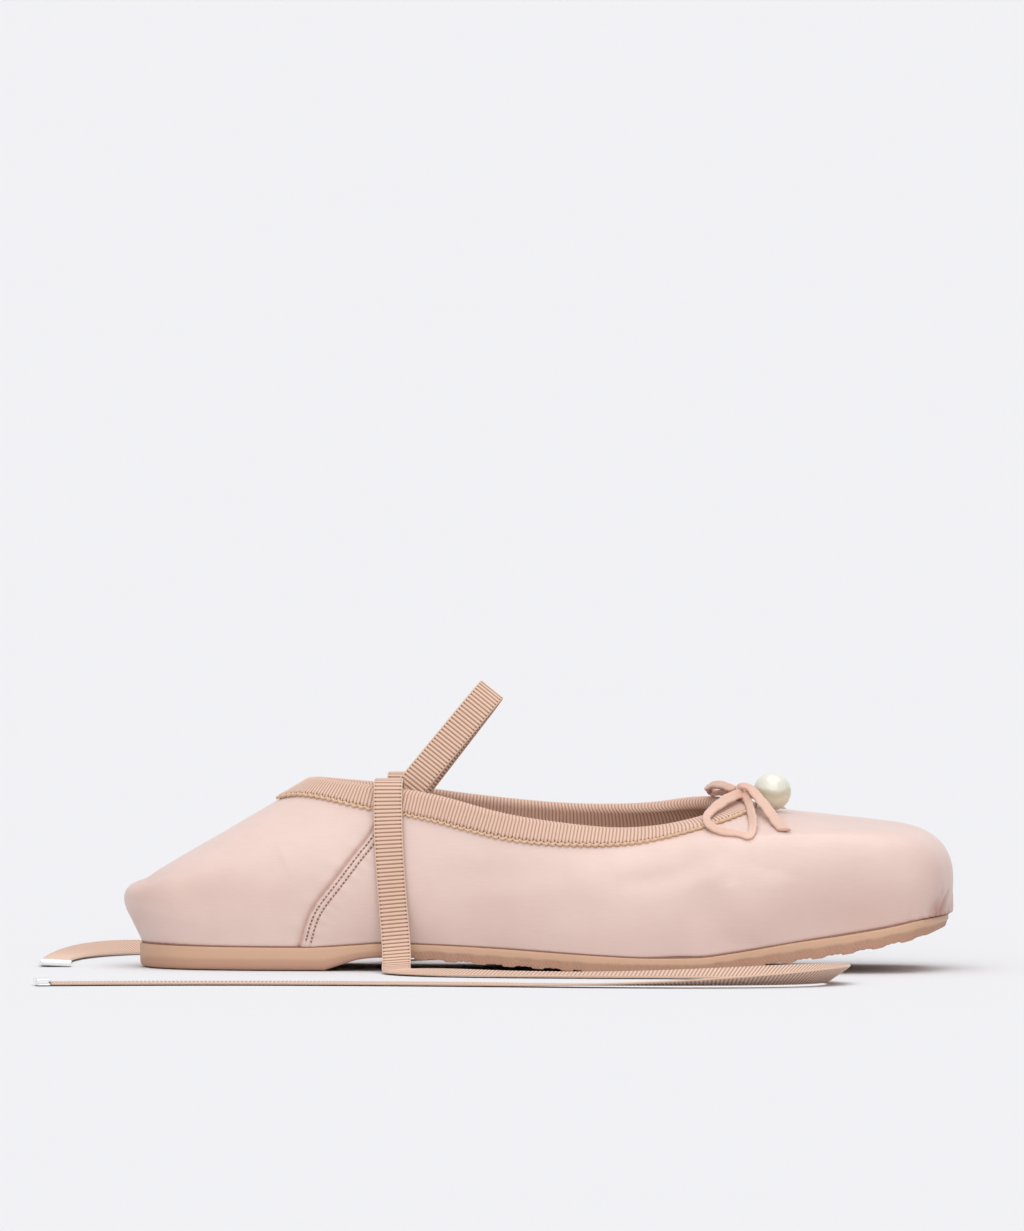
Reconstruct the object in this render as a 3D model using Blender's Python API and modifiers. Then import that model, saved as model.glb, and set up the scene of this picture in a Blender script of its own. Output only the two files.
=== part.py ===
"""Ballet flat with ankle ties: a right shoe, heel towards -X, toe towards +X, outer (lateral) side towards -Y.

All sizes below are millimetres; the scene is in metres, +Z up, floor at z = 0. Every shell and band is worked out
from one skin function: a rib runs from the feather edge, where upper meets outsole, over a rounded corner to the
collar edge, and SECTIONS has one row for each rib that shapes the last.
"""

import math
from collections import namedtuple

import bmesh
import bpy
import numpy as np
from mathutils import Vector
from mathutils.bvhtree import BVHTree

MM = 0.001

# ------------------------------------------------------------------ named sizes
WALL = 1.8  # satin, backing and lining together
GAP = 0.3  # clearance between pieces that touch on the real shoe
BAND = 0.9  # thickness of the folded grosgrain binding on each face
SOLE_LEDGE = 0.8  # the outsole stands this far outside the upper
SOLE_INSET = 0.9  # and its lower edge is drawn in by this much
INSOLE_THICK = 2.0
INSOLE_INSET = 2.7
RIBBON_WIDE = 8.8
RIBBON_THICK = 0.8
STRAP_THICK = 0.9
CORD_RADIUS = 1.25  # satin cord of the bow
PEARL_RADIUS = 5.8
TIP_LONG, TIP_WIDE, TIP_THICK = 4.4, 9.6, 2.0
LUG_DEEP = 1.1

# ------------------------------------------------------------------ tables
# One row for each rib from the middle of the heel to the middle of the toe. Both sides share a row.
#   foot_x, foot_l, foot_m   feather edge: station along the shoe, half width on the lateral and medial side
#   top_x, top_l, top_m      collar edge: station and half widths
#   top_zl, top_zm           height of the finished collar edge on each side
#   out, along, up           corner of the rib: outside the feather edge, share of the way to the collar, height
#   low, high                rounding: share of the lower leg, and millimetres of the upper leg
#   band                     width of the binding, measured down the rib
Section = namedtuple(
    "Section",
    "name foot_x foot_l foot_m top_x top_l top_m top_zl top_zm out along up low high band",
)
SECTIONS = [
    Section("heel_back", -121.6, 0.0, 0.0, -70.6, 0.0, 0.0, 57.7, 57.7, 7.2, 0.00, 14.8, 0.38, 6.8, 11.0),
    Section("heel_round", -118.8, 10.5, 10.0, -69.2, 6.8, 6.6, 57.8, 57.6, 6.9, 0.00, 14.8, 0.40, 7.5, 9.2),
    Section("heel_corner", -110.8, 20.0, 19.5, -64.8, 13.4, 13.0, 57.7, 57.0, 6.2, 0.02, 15.5, 0.50, 11.0, 7.4),
    Section("heel_side", -96.0, 26.0, 25.0, -56.5, 19.6, 19.2, 57.0, 56.0, 5.6, 0.12, 17.5, 0.70, 20.0, 7.2),
    Section("quarter", -70.0, 28.0, 26.5, -46.0, 24.0, 23.2, 55.6, 54.6, 5.6, 0.25, 19.5, 0.80, 26.0, 6.9),
    Section("waist", -40.0, 27.5, 24.5, -30.0, 26.6, 25.2, 53.1, 52.2, 6.2, 0.35, 20.0, 0.85, 26.0, 6.6),
    Section("waist_front", -8.0, 31.0, 27.0, -10.0, 28.2, 26.4, 48.0, 49.9, 6.6, 0.40, 19.0, 0.90, 24.0, 6.8),
    Section("ball_back", 22.0, 37.0, 33.5, 8.0, 28.8, 27.4, 45.4, 48.8, 6.8, 0.30, 21.0, 0.90, 22.0, 7.5),
    Section("ball", 50.0, 38.5, 37.0, 24.0, 28.4, 27.6, 44.1, 49.0, 6.8, 0.20, 25.0, 0.85, 22.0, 9.2),
    Section("ball_front", 78.5, 36.0, 36.0, 37.0, 26.8, 26.4, 44.6, 50.2, 6.2, 0.08, 29.5, 0.72, 22.0, 11.2),
    Section("toe_side", 101.0, 32.5, 32.5, 46.2, 23.6, 23.4, 46.1, 51.4, 4.8, 0.03, 29.0, 0.66, 20.0, 9.4),
    Section("toe_corner", 114.2, 29.0, 28.5, 53.2, 18.6, 18.4, 47.8, 51.4, 3.4, 0.00, 26.6, 0.64, 18.0, 7.6),
    Section("toe_turn", 121.6, 22.0, 21.5, 57.4, 12.6, 12.4, 49.1, 50.8, 2.4, 0.00, 25.4, 0.66, 18.0, 7.0),
    Section("toe_front", 124.8, 11.0, 10.8, 59.8, 6.4, 6.3, 49.8, 50.3, 1.9, 0.00, 25.0, 0.68, 18.0, 6.6),
    Section("toe_middle", 125.7, 0.0, 0.0, 60.5, 0.0, 0.0, 50.0, 50.0, 1.9, 0.00, 24.9, 0.68, 18.0, 6.6),
]

# Under the bow the throat of the upper stands up in a soft rise: its middle, half sizes and height
Rise = namedtuple("Rise", "x long wide high")
THROAT = Rise(58.0, 10.0, 13.0, 1.3)

# Height of the outsole's top and bottom at each station: heel seat, breast, arch, ball, toe spring.
SolePoint = namedtuple("SolePoint", "x top bottom")
SOLE = [
    SolePoint(-123.0, 7.2, 0.0),
    SolePoint(-100.0, 7.0, 0.0),
    SolePoint(-72.0, 6.9, 0.0),
    SolePoint(-63.5, 7.1, 0.0),
    SolePoint(-54.0, 7.7, 3.1),
    SolePoint(-46.0, 8.2, 3.9),
    SolePoint(-32.0, 7.9, 3.1),
    SolePoint(-8.0, 6.8, 1.5),
    SolePoint(10.0, 5.7, 0.55),
    SolePoint(21.0, 5.1, 0.0),
    SolePoint(37.0, 4.5, 0.0),
    SolePoint(51.0, 4.7, 0.0),
    SolePoint(62.0, 6.1, 1.2),
    SolePoint(80.0, 9.2, 3.4),
    SolePoint(98.0, 11.9, 6.0),
    SolePoint(112.0, 14.4, 8.8),
    SolePoint(120.0, 16.2, 10.9),
    SolePoint(126.6, 17.0, 13.6),
]
STRAIGHT_SPANS = ((-123.0, -63.5), (-63.5, -54.0), (21.0, 51.0))  # flat heel, breast and flat tread spot

# Cross lugs: first and last lug middle, pitch, width of a lug
LugRow = namedtuple("LugRow", "first last pitch wide")
LUGS = [LugRow(-34.0, 11.0, 9.0, 6.0), LugRow(61.0, 115.0, 9.0, 6.0)]

# Instep strap, an arch in a plane that leans forward: across the shoe, and along the lean from the collar edge
STRAP_ROOT = (-38.7, 54.5)  # x and z of the ribbon's middle at the collar edge
STRAP_LEAN = 51.4  # degrees above the floor
ArchPoint = namedtuple("ArchPoint", "across along")
ARCH = [
    ArchPoint(-17.9, -12.0),
    ArchPoint(-17.9, -6.0),
    ArchPoint(-17.6, 1.0),
    ArchPoint(-13.2, 14.0),
    ArchPoint(-6.4, 31.0),
    ArchPoint(-3.0, 36.6),
    ArchPoint(0.0, 38.4),
    ArchPoint(3.0, 36.6),
    ArchPoint(6.4, 31.0),
    ArchPoint(12.8, 14.0),
    ArchPoint(17.0, 1.0),
    ArchPoint(17.3, -6.0),
    ArchPoint(17.3, -12.0),
]

# The ties: sewn inside the collar, out over its edge, down the side and away along the floor.
# rise is the height of the ribbon's lowest edge, turn how far the ribbon is rolled on to its edge, in degrees
TiePoint = namedtuple("TiePoint", "x y rise turn")
TIE_LATERAL = [
    TiePoint(-44.0, -19.2, 45.0, 0),
    TiePoint(-44.0, -19.2, 53.0, 0),
    TiePoint(-44.0, -20.2, 56.4, 0),
    TiePoint(-44.0, -23.4, 57.5, 0),
    TiePoint(-44.0, -26.4, 55.6, 0),
    TiePoint(-43.9, -28.6, 49.0, 0),
    TiePoint(-43.4, -31.0, 38.0, 0),
    TiePoint(-42.4, -32.2, 24.0, 0),
    TiePoint(-41.2, -33.4, 11.0, 0),
    TiePoint(-40.4, -38.0, 2.4, 0),
    TiePoint(-39.0, -47.0, 0.0, -2),
    TiePoint(-29.0, -58.0, 0.0, 1),
    TiePoint(-6.0, -64.0, 0.0, -1),
    TiePoint(28.0, -66.0, 0.0, -1),
    TiePoint(60.0, -68.0, 0.0, 8),
    TiePoint(85.0, -76.0, 0.0, 19),
    TiePoint(98.0, -92.0, 0.0, 25),
    TiePoint(95.0, -110.0, 0.0, 24),
    TiePoint(77.0, -122.0, 0.0, 14),
    TiePoint(46.0, -126.0, 0.0, 1),
    TiePoint(10.0, -123.0, 0.0, -7),
    TiePoint(-28.0, -119.0, 0.0, -8),
    TiePoint(-66.0, -118.0, 0.0, -8),
    TiePoint(-104.0, -121.0, 0.0, -8),
    TiePoint(-137.0, -127.0, 0.0, -8),
]
TIE_MEDIAL = [
    TiePoint(-44.0, 18.3, 45.0, 0),
    TiePoint(-44.0, 18.3, 53.0, 0),
    TiePoint(-44.0, 19.3, 56.6, 0),
    TiePoint(-44.0, 22.6, 57.8, 0),
    TiePoint(-44.0, 25.9, 55.8, 0),
    TiePoint(-44.2, 28.2, 49.0, 0),
    TiePoint(-45.0, 30.2, 38.0, 0),
    TiePoint(-46.4, 30.8, 24.0, 0),
    TiePoint(-48.0, 31.6, 11.0, 0),
    TiePoint(-48.0, 36.0, 2.4, 0),
    TiePoint(-44.0, 46.0, 0.0, 0),
    TiePoint(-30.0, 59.0, 0.0, -10),
    TiePoint(-4.0, 67.0, 0.0, -24),
    TiePoint(28.0, 70.0, 0.0, -50),
    TiePoint(54.0, 75.0, 0.0, -84),
    TiePoint(64.0, 89.0, 0.0, -90),
    TiePoint(50.0, 102.0, 0.0, -84),
    TiePoint(16.0, 103.0, 0.0, -50),
    TiePoint(-24.0, 96.0, 0.0, -14),
    TiePoint(-66.0, 92.0, 0.0, 0),
    TiePoint(-104.0, 90.0, 0.0, -2),
    TiePoint(-133.0, 76.0, 0.0, -12),
    TiePoint(-147.0, 50.0, 0.0, -4),
    TiePoint(-150.0, 20.0, 0.0, 8),
    TiePoint(-148.0, -4.0, 0.0, 8),
]

# Bow of satin cord on the throat: station, distance across, and height of the cord's middle above the vamp
BowPoint = namedtuple("BowPoint", "x y lift")
BOW_LOOP_LATERAL = [
    BowPoint(61.6, -3.2, 2.6),
    BowPoint(59.8, -9.0, 2.7),
    BowPoint(57.5, -15.4, 2.5),
    BowPoint(54.8, -21.8, 2.2),
    BowPoint(53.0, -27.0, 2.2),
    BowPoint(53.6, -30.8, 1.8),
    BowPoint(56.2, -33.8, 1.5),
    BowPoint(59.6, -35.4, 1.4),
    BowPoint(63.4, -36.4, 1.4),
    BowPoint(66.6, -36.6, 1.4),
    BowPoint(68.2, -34.0, 1.4),
    BowPoint(67.6, -26.0, 1.6),
    BowPoint(66.2, -17.0, 1.8),
    BowPoint(64.0, -7.0, 2.0),
]
BOW_LOOP_MEDIAL = [
    BowPoint(58.0, 2.8, 3.2),
    BowPoint(55.4, 7.0, 4.0),
    BowPoint(52.8, 11.6, 4.3),
    BowPoint(51.0, 16.2, 3.8),
    BowPoint(50.8, 20.6, 3.0),
    BowPoint(52.8, 24.0, 2.8),
    BowPoint(56.6, 24.0, 2.6),
    BowPoint(59.6, 18.4, 2.5),
    BowPoint(61.2, 12.4, 2.5),
    BowPoint(62.4, 7.4, 2.5),
]
BOW_TAIL_LATERAL = [
    BowPoint(60.4, -3.4, 5.0),
    BowPoint(61.8, -4.0, 5.7),
    BowPoint(64.0, -5.4, 5.5),
    BowPoint(66.4, -8.0, 4.4),
    BowPoint(69.4, -14.0, 2.8),
    BowPoint(72.9, -22.8, 1.5),
    BowPoint(77.3, -35.0, 1.4),
]
BOW_TAIL_MEDIAL = [
    BowPoint(60.8, 3.4, 4.7),
    BowPoint(62.8, 4.8, 5.1),
    BowPoint(65.6, 7.6, 4.3),
    BowPoint(68.2, 12.6, 2.6),
    BowPoint(70.4, 20.0, 1.8),
    BowPoint(71.6, 28.0, 1.5),
]
KNOT_AT = (60.2, 0.0)
KNOT_SIZE = (2.6, 2.2, 2.6)  # half lengths
PEARL_AT = (71.1, 0.0)
PEARL_LIFT = 0.7  # the pearl's underside over the satin, where it clears the edge of the binding


# ------------------------------------------------------------------ curves through the rows
def spline_slopes(t, y, closed):
    """Second derivatives of the cubic spline through the points, natural at its ends or closed."""
    n = len(t) - 1 if closed else len(t)
    h = np.diff(t)
    system = np.zeros((n, n))
    right = np.zeros((n, y.shape[1]))
    for i in range(n):
        if not closed and i in (0, n - 1):
            system[i, i] = 1.0
            continue
        before, after = h[i - 1], h[i]
        system[i, (i - 1) % n] += before
        system[i, i] += 2 * (before + after)
        system[i, (i + 1) % n] += after
        y_before = y[i - 1] if i else y[n - 1]
        right[i] = 6 * ((y[i + 1] - y[i]) / after - (y[i] - y_before) / before)
    bends = np.linalg.solve(system, right)
    return np.vstack([bends, bends[:1]]) if closed else bends


class Spline:
    """A cubic spline through rows of numbers; a closed one repeats its first row at the end."""

    def __init__(self, t, rows, closed=False):
        self.t = np.asarray(t, float)
        self.y = np.asarray(rows, float)
        self.closed = closed
        self.m = spline_slopes(self.t, self.y, closed)

    def __call__(self, at):
        at = np.asarray(at, float)
        if self.closed:
            at = self.t[0] + np.mod(at - self.t[0], self.t[-1] - self.t[0])
        i = np.clip(np.searchsorted(self.t, at, side="right") - 1, 0, len(self.t) - 2)
        h = (self.t[i + 1] - self.t[i])[..., None]
        a = (self.t[i + 1] - at)[..., None] / h
        b = 1 - a
        curve = a * self.y[i] + b * self.y[i + 1]
        return curve + ((a**3 - a) * self.m[i] + (b**3 - b) * self.m[i + 1]) * h**2 / 6


def through(points, step):
    """A smooth open curve through 3-D points, sampled about every step millimetres."""
    points = np.asarray(points, float)
    t = np.concatenate([[0], np.cumsum(np.sqrt(np.linalg.norm(np.diff(points[:, :3], axis=0), axis=1)))])
    curve = Spline(t, points)
    fine = curve(np.linspace(0, t[-1], 1200))
    run = np.concatenate([[0], np.cumsum(np.linalg.norm(np.diff(fine[:, :3], axis=0), axis=1))])
    count = max(3, int(round(run[-1] / step)) + 1)
    want = np.linspace(0, run[-1], count)
    return np.stack([np.interp(want, run, fine[:, k]) for k in range(points.shape[1])], axis=1)


# ------------------------------------------------------------------ outsole heights
def ramp(table, column):
    xs = np.array([row.x for row in table])
    zs = np.array([getattr(row, column) for row in table])
    slope = np.gradient(zs, xs)
    secant = np.diff(zs) / np.diff(xs)
    # A slope is limited so that the curve never swings past its rows.
    for i in range(1, len(xs) - 1):
        if secant[i - 1] * secant[i] <= 0:
            slope[i] = 0
        else:
            slope[i] = math.copysign(min(abs(slope[i]), 2 * abs(secant[i - 1]), 2 * abs(secant[i])), slope[i])
    slope[0], slope[-1] = secant[0], secant[-1]

    def height(x):
        x = np.clip(np.asarray(x, float), xs[0], xs[-1])
        i = np.clip(np.searchsorted(xs, x, side="right") - 1, 0, len(xs) - 2)
        h = xs[i + 1] - xs[i]
        s = (x - xs[i]) / h
        z = (
            zs[i] * (1 + 2 * s) * (1 - s) ** 2
            + slope[i] * h * s * (1 - s) ** 2
            + zs[i + 1] * s**2 * (3 - 2 * s)
            + slope[i + 1] * h * s**2 * (s - 1)
        )
        if column == "bottom":
            for start, end in STRAIGHT_SPANS:
                line = np.interp(x, (start, end), (np.interp(start, xs, zs), np.interp(end, xs, zs)))
                z = np.where((x >= start) & (x <= end), line, z)
        return z

    return height


seat = ramp(SOLE, "top")
ground = ramp(SOLE, "bottom")


# ------------------------------------------------------------------ the last's skin
def closed_rows():
    """The rows as one ring: down the lateral side from heel to toe, and back along the medial side."""
    ring = []
    for row in SECTIONS:
        ring.append((row.foot_x, -row.foot_l, row.top_x, -row.top_l, row.top_zl) + tuple(row[9:]))
    for row in SECTIONS[-2:0:-1]:
        ring.append((row.foot_x, row.foot_m, row.top_x, row.top_m, row.top_zm) + tuple(row[9:]))
    ring.append(ring[0])
    return np.array(ring, float)


def ring_places():
    """Distance of each row round the ring, the same on both sides, so that s and WHOLE - s face each other."""
    mean = np.array([(row.foot_x, (row.foot_l + row.foot_m) / 2) for row in SECTIONS])
    side = np.concatenate([[0], np.cumsum(np.linalg.norm(np.diff(mean, axis=0), axis=1))])
    return np.concatenate([side, 2 * side[-1] - side[-2::-1]])


LENGTHS = ring_places()
ROUND = Spline(LENGTHS, closed_rows(), closed=True)
TOE_AT = LENGTHS[len(SECTIONS) - 1]
WHOLE = LENGTHS[-1]


def outline(s, offset=0.0):
    """The feather edge seen from above, moved outwards by offset, and its outward direction."""
    here = ROUND(s)[..., :2]
    step = 0.05
    run = ROUND(np.asarray(s) + step)[..., :2] - ROUND(np.asarray(s) - step)[..., :2]
    out = np.stack([run[..., 1], -run[..., 0]], axis=-1)
    out /= np.linalg.norm(out, axis=-1, keepdims=True)
    return here + offset * out, out


def throat_rise(x, y):
    return THROAT.high * np.exp(-(((x - THROAT.x) / THROAT.long) ** 2) - (y / THROAT.wide) ** 2)


def skin(s, v):
    """Points of the upper's outer face: s runs round the shoe, v from feather edge (0) to collar (1)."""
    s = np.asarray(s, float)
    v = np.asarray(v, float)
    row = ROUND(s)
    foot_xy, out = outline(s)
    foot = np.concatenate([foot_xy, (seat(foot_xy[..., 0]) + GAP)[..., None]], axis=-1)
    top = np.stack([row[..., 2], row[..., 3], row[..., 4] - GAP - BAND], axis=-1)
    plan = top - foot
    corner = foot + np.concatenate([out * row[..., 5:6], row[..., 7:8]], axis=-1)
    corner[..., :2] += plan[..., :2] * row[..., 6:7]
    lower = np.linalg.norm(foot - corner, axis=-1)
    upper = np.linalg.norm(top - corner, axis=-1)
    low = np.clip(row[..., 8], 0.05, 0.97)
    high = np.minimum(row[..., 9] / upper, 0.97)
    first = corner + (foot - corner) * low[..., None]
    second = corner + (top - corner) * high[..., None]
    bend = 0.85 * (low * lower + high * upper)
    parts = np.stack([(1 - low) * lower, bend, (1 - high) * upper])
    share = parts / parts.sum(axis=0)
    v1 = 0.55 * share[0] + 0.45 * 0.14
    v2 = 0.55 * (share[0] + share[1]) + 0.45 * 0.68
    a = np.clip(v / v1, 0, 1)[..., None]
    b = np.clip((v - v1) / (v2 - v1), 0, 1)[..., None]
    c = np.clip((v - v2) / (1 - v2), 0, 1)[..., None]
    on_low = foot + (first - foot) * a
    on_bend = first * (1 - b) ** 2 + corner * 2 * b * (1 - b) + second * b**2
    on_high = second + (top - second) * c
    v = v[..., None]
    points = np.where(v < v1[..., None], on_low, np.where(v < v2[..., None], on_bend, on_high))
    points[..., 2] += throat_rise(points[..., 0], points[..., 1])
    return points


def rib_stations(each):
    """Rib places: the same number between every two rows."""
    stops = [np.linspace(LENGTHS[i], LENGTHS[i + 1], each, endpoint=False) for i in range(len(LENGTHS) - 1)]
    return np.concatenate(stops)


def skin_grid(stations, count):
    v = np.linspace(0, 1, count)
    s = np.repeat(stations[:, None], count, axis=1)
    return skin(s, np.repeat(v[None, :], len(stations), axis=0))


def outward(grid):
    """Outward normals of a grid that is closed round the shoe."""
    along = np.roll(grid, -1, axis=0) - np.roll(grid, 1, axis=0)
    up = np.gradient(grid, axis=1)
    normal = np.cross(along, up)
    return normal / np.linalg.norm(normal, axis=-1, keepdims=True)


def below_top(grid, normals, depth):
    """Point, normal and upward direction at a distance down each rib from the collar edge."""
    depth = np.broadcast_to(depth, grid.shape[:1])
    points, faces, ups = [], [], []
    for rib, normal, want in zip(grid[:, ::-1], normals[:, ::-1], depth):
        run = np.concatenate([[0], np.cumsum(np.linalg.norm(np.diff(rib, axis=0), axis=1))])
        at = [np.interp(want, run, rib[:, k]) for k in range(3)]
        out = np.array([np.interp(want, run, normal[:, k]) for k in range(3)])
        nearby = [np.interp(want + 1.0, run, rib[:, k]) for k in range(3)]
        up = np.array(at) - np.array(nearby)
        points.append(at)
        faces.append(out / np.linalg.norm(out))
        ups.append(up / np.linalg.norm(up))
    return np.array(points), np.array(faces), np.array(ups)


# ------------------------------------------------------------------ Blender helpers
def clear_scene():
    for obj in list(bpy.data.objects):
        bpy.data.objects.remove(obj, do_unlink=True)


def material(name, colour, roughness, metallic=0.0):
    made = bpy.data.materials.new(name)
    made.use_nodes = True
    shader = made.node_tree.nodes["Principled BSDF"]
    shader.inputs["Base Color"].default_value = (*colour, 1.0)
    shader.inputs["Roughness"].default_value = roughness
    shader.inputs["Metallic"].default_value = metallic
    return made


def add_object(name, data, finish, group):
    obj = bpy.data.objects.new(name, data)
    obj.data.materials.append(finish)
    group.objects.link(obj)
    return obj


def tidy(mesh):
    """Welds collapsed ends and makes every face look outwards."""
    cage = bmesh.new()
    cage.from_mesh(mesh)
    bmesh.ops.remove_doubles(cage, verts=cage.verts, dist=1e-7)
    bmesh.ops.dissolve_degenerate(cage, edges=cage.edges, dist=1e-7)
    bmesh.ops.recalc_face_normals(cage, faces=cage.faces)
    cage.to_mesh(mesh)
    cage.free()
    return mesh


def loft(name, rings, closed_along):
    """A surface through closed rings of equal point count; an open one is filled at both ends."""
    rings = np.asarray(rings, float) * MM
    count, size = rings.shape[:2]
    cage = bmesh.new()
    rows = [[cage.verts.new(point) for point in ring] for ring in rings]
    for i in range(count if closed_along else count - 1):
        here, there = rows[i], rows[(i + 1) % count]
        for j in range(size):
            k = (j + 1) % size
            cage.faces.new((here[j], here[k], there[k], there[j]))
    if not closed_along:
        # A ring that has closed to a line, as at the middle of the heel and of the toe, needs no cap.
        for row, ring in ((rows[0][::-1], rings[0]), (rows[-1], rings[-1])):
            if np.ptp(ring[:, 1]) > 0.01 * MM:
                cage.faces.new(row)
    mesh = bpy.data.meshes.new(name)
    cage.to_mesh(mesh)
    cage.free()
    return tidy(mesh)


def sheet(name, grid, closed_round):
    """An open surface from a grid of points."""
    grid = np.asarray(grid, float) * MM
    count, size = grid.shape[:2]
    cage = bmesh.new()
    rows = [[cage.verts.new(point) for point in row] for row in grid]
    for i in range(count if closed_round else count - 1):
        here, there = rows[i], rows[(i + 1) % count]
        for j in range(size - 1):
            cage.faces.new((here[j], there[j], there[j + 1], here[j + 1]))
    mesh = bpy.data.meshes.new(name)
    cage.to_mesh(mesh)
    cage.free()
    return mesh


def thicken(obj, thickness, offset):
    solid = obj.modifiers.new("Thickness", "SOLIDIFY")
    solid.thickness = thickness * MM
    solid.offset = offset
    solid.use_even_offset = True
    solid.use_quality_normals = True
    return solid


# ------------------------------------------------------------------ pieces
def make_upper(finish, group):
    grid = skin_grid(rib_stations(3), 14)
    obj = add_object("upper", sheet("upper", grid, True), finish, group)
    thicken(obj, WALL, -1.0)
    return obj


def make_binding(finish, group):
    """A ribbon folded over the collar edge: outer leg, rounded top and inner leg round every rib."""
    stations = rib_stations(3)
    grid = skin_grid(stations, 90)
    normals = outward(grid)
    wide = ROUND(stations)[:, 10]
    tip, tip_out, tip_up = below_top(grid, normals, 0.0)
    low, low_out, _ = below_top(grid, normals, wide)
    middle = tip - tip_out * WALL / 2
    outer, inner = WALL / 2 + GAP + BAND, WALL / 2 + GAP

    def turn(radius, degrees):
        angle = math.radians(degrees)
        return middle + radius * (math.cos(angle) * tip_out + math.sin(angle) * tip_up)

    profile = [low + low_out * (GAP + BAND)]
    profile += [turn(outer, degrees) for degrees in (0, 45, 90, 135, 180)]
    profile += [low - low_out * (WALL + GAP + BAND), low - low_out * (WALL + GAP)]
    profile += [turn(inner, degrees) for degrees in (180, 90, 0)]
    profile += [low + low_out * GAP]
    return add_object("collar_binding", loft("collar_binding", np.stack(profile, axis=1), True), finish, group)


def lateral_station(x):
    """Place round the ring, on the lateral side, where the feather edge has this x."""
    low, high = 0.0, TOE_AT
    for _ in range(60):
        middle = (low + high) / 2
        if ROUND(middle)[0] < x:
            low = middle
        else:
            high = middle
    return (low + high) / 2


def groove(x):
    """How far the tread is cut up into the outsole at this station."""
    for row in LUGS:
        start, end = row.first - row.wide / 2, row.last + row.wide / 2
        if start - 3.0 < x < end + 3.0:
            place = (x - start) % row.pitch
            inside = start <= x <= end and place <= row.wide
            return 0.0 if inside else LUG_DEEP
    return 0.0


def sole_stations():
    """Stations close together round heel and toe, at every row, and at both edges of each groove."""
    ends = [share * 30.0 for share in (0.0, 0.06, 0.14, 0.25, 0.4, 0.6, 0.8, 1.0)]
    places = [(s, 0.0) for s in ends] + [(TOE_AT - s, 0.0) for s in ends]
    for x in (-92.0, -82.0, -72.0, -63.5, -54.0, -49.0, -44.0, 21.0, 36.0, 51.0):
        places.append((lateral_station(x), 0.0))
    for row in LUGS:
        middle = row.first
        while middle <= row.last + 0.01:
            for edge, lift in ((-0.5, 1), (-0.5, 0), (0.5, 0), (0.5, 1)):
                x = middle + edge * row.wide + (edge * 1.2 if lift else 0.0)
                places.append((lateral_station(x), LUG_DEEP * lift))
            middle += row.pitch
    places.sort()
    return places


def make_outsole(finish, group):
    rings = []
    for s, lift in sole_stations():
        sides = []
        for place in (s, WHOLE - s):
            edge, out = outline(place, SOLE_LEDGE)
            sides.append((edge, edge - out * SOLE_INSET))
        (left, left_in), (right, right_in) = sides
        x = (left[0] + right[0]) / 2
        top = float(seat(x))
        under = min(float(ground(x)) + lift, top - 2.0)
        # The middle of each face is halfway between the two sides, so the faces stay flat across.
        rings.append(
            [
                (*left, top),
                (*((left + right) / 2), top),
                (*right, top),
                (*right, under + 1.4),
                (*right_in, under),
                (*((left_in + right_in) / 2), under),
                (*left_in, under),
                (*left, under + 1.4),
            ]
        )
    return add_object("outsole", loft("outsole", rings, False), finish, group)


def make_insole(finish, group):
    rings = []
    for share in np.concatenate([np.linspace(0, 0.18, 7), np.linspace(0.22, 0.84, 14), np.linspace(0.87, 1, 8)]):
        s = share * TOE_AT
        left, _ = outline(s, -INSOLE_INSET)
        right, _ = outline(WHOLE - s, -INSOLE_INSET)
        # At the ends the two sides would cross, so each keeps to its own side of the middle.
        left[1], right[1] = min(left[1], 0.0), max(right[1], 0.0)
        if share in (0.0, 1.0):
            left[1] = right[1] = 0.0
        x = (left[0] + right[0]) / 2
        low = float(seat(x)) + GAP
        rings.append(
            [
                (*left, low + INSOLE_THICK),
                (*((left + right) / 2), low + INSOLE_THICK),
                (*right, low + INSOLE_THICK),
                (*right, low),
                (*((left + right) / 2), low),
                (*left, low),
            ]
        )
    return add_object("insole", loft("insole", rings, False), finish, group)


def make_strap(finish, group):
    lean = math.radians(STRAP_LEAN)
    along = np.array([math.cos(lean), 0.0, math.sin(lean)])
    wide = np.array([math.sin(lean), 0.0, -math.cos(lean)])
    root = np.array([STRAP_ROOT[0], 0.0, STRAP_ROOT[1]])
    path = through([root + along * p.along + np.array([0.0, p.across, 0.0]) for p in ARCH], 3.0)
    grid = np.stack([path + wide * side * RIBBON_WIDE / 2 for side in (-1, 0, 1)], axis=1)
    obj = add_object("instep_strap", sheet("instep_strap", grid, False), finish, group)
    thicken(obj, STRAP_THICK, 0.0)
    return obj


def tie_route(rows, step):
    """Middle line of a tie and the direction of its width. The ribbon never twists by itself: turn rolls it."""
    path = through([(r.x, r.y, r.rise, r.turn) for r in rows], step)
    half = RIBBON_WIDE / 2
    low = np.maximum(path[:, 2], 0.0) + RIBBON_THICK / 2 + 0.1  # height of the middle where the ribbon lies flat
    middle = np.stack([path[:, 0], path[:, 1], low + half * np.abs(np.sin(np.radians(path[:, 3])))], axis=1)
    run = np.gradient(middle, axis=0)
    run /= np.linalg.norm(run, axis=1, keepdims=True)
    across = np.array([1.0, 0.0, 0.0])
    wide = []
    for here in run:
        across = across - here * across.dot(here)
        across /= np.linalg.norm(across)
        wide.append(across)
    wide = np.array(wide)
    roll = np.radians(path[:, 3])[:, None]
    wide = wide * np.cos(roll) + np.cross(run, wide) * np.sin(roll)
    # The lower edge of a rolled stretch just touches the floor.
    middle[:, 2] = low + half * np.abs(wide[:, 2])
    return middle, run, wide


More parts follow.
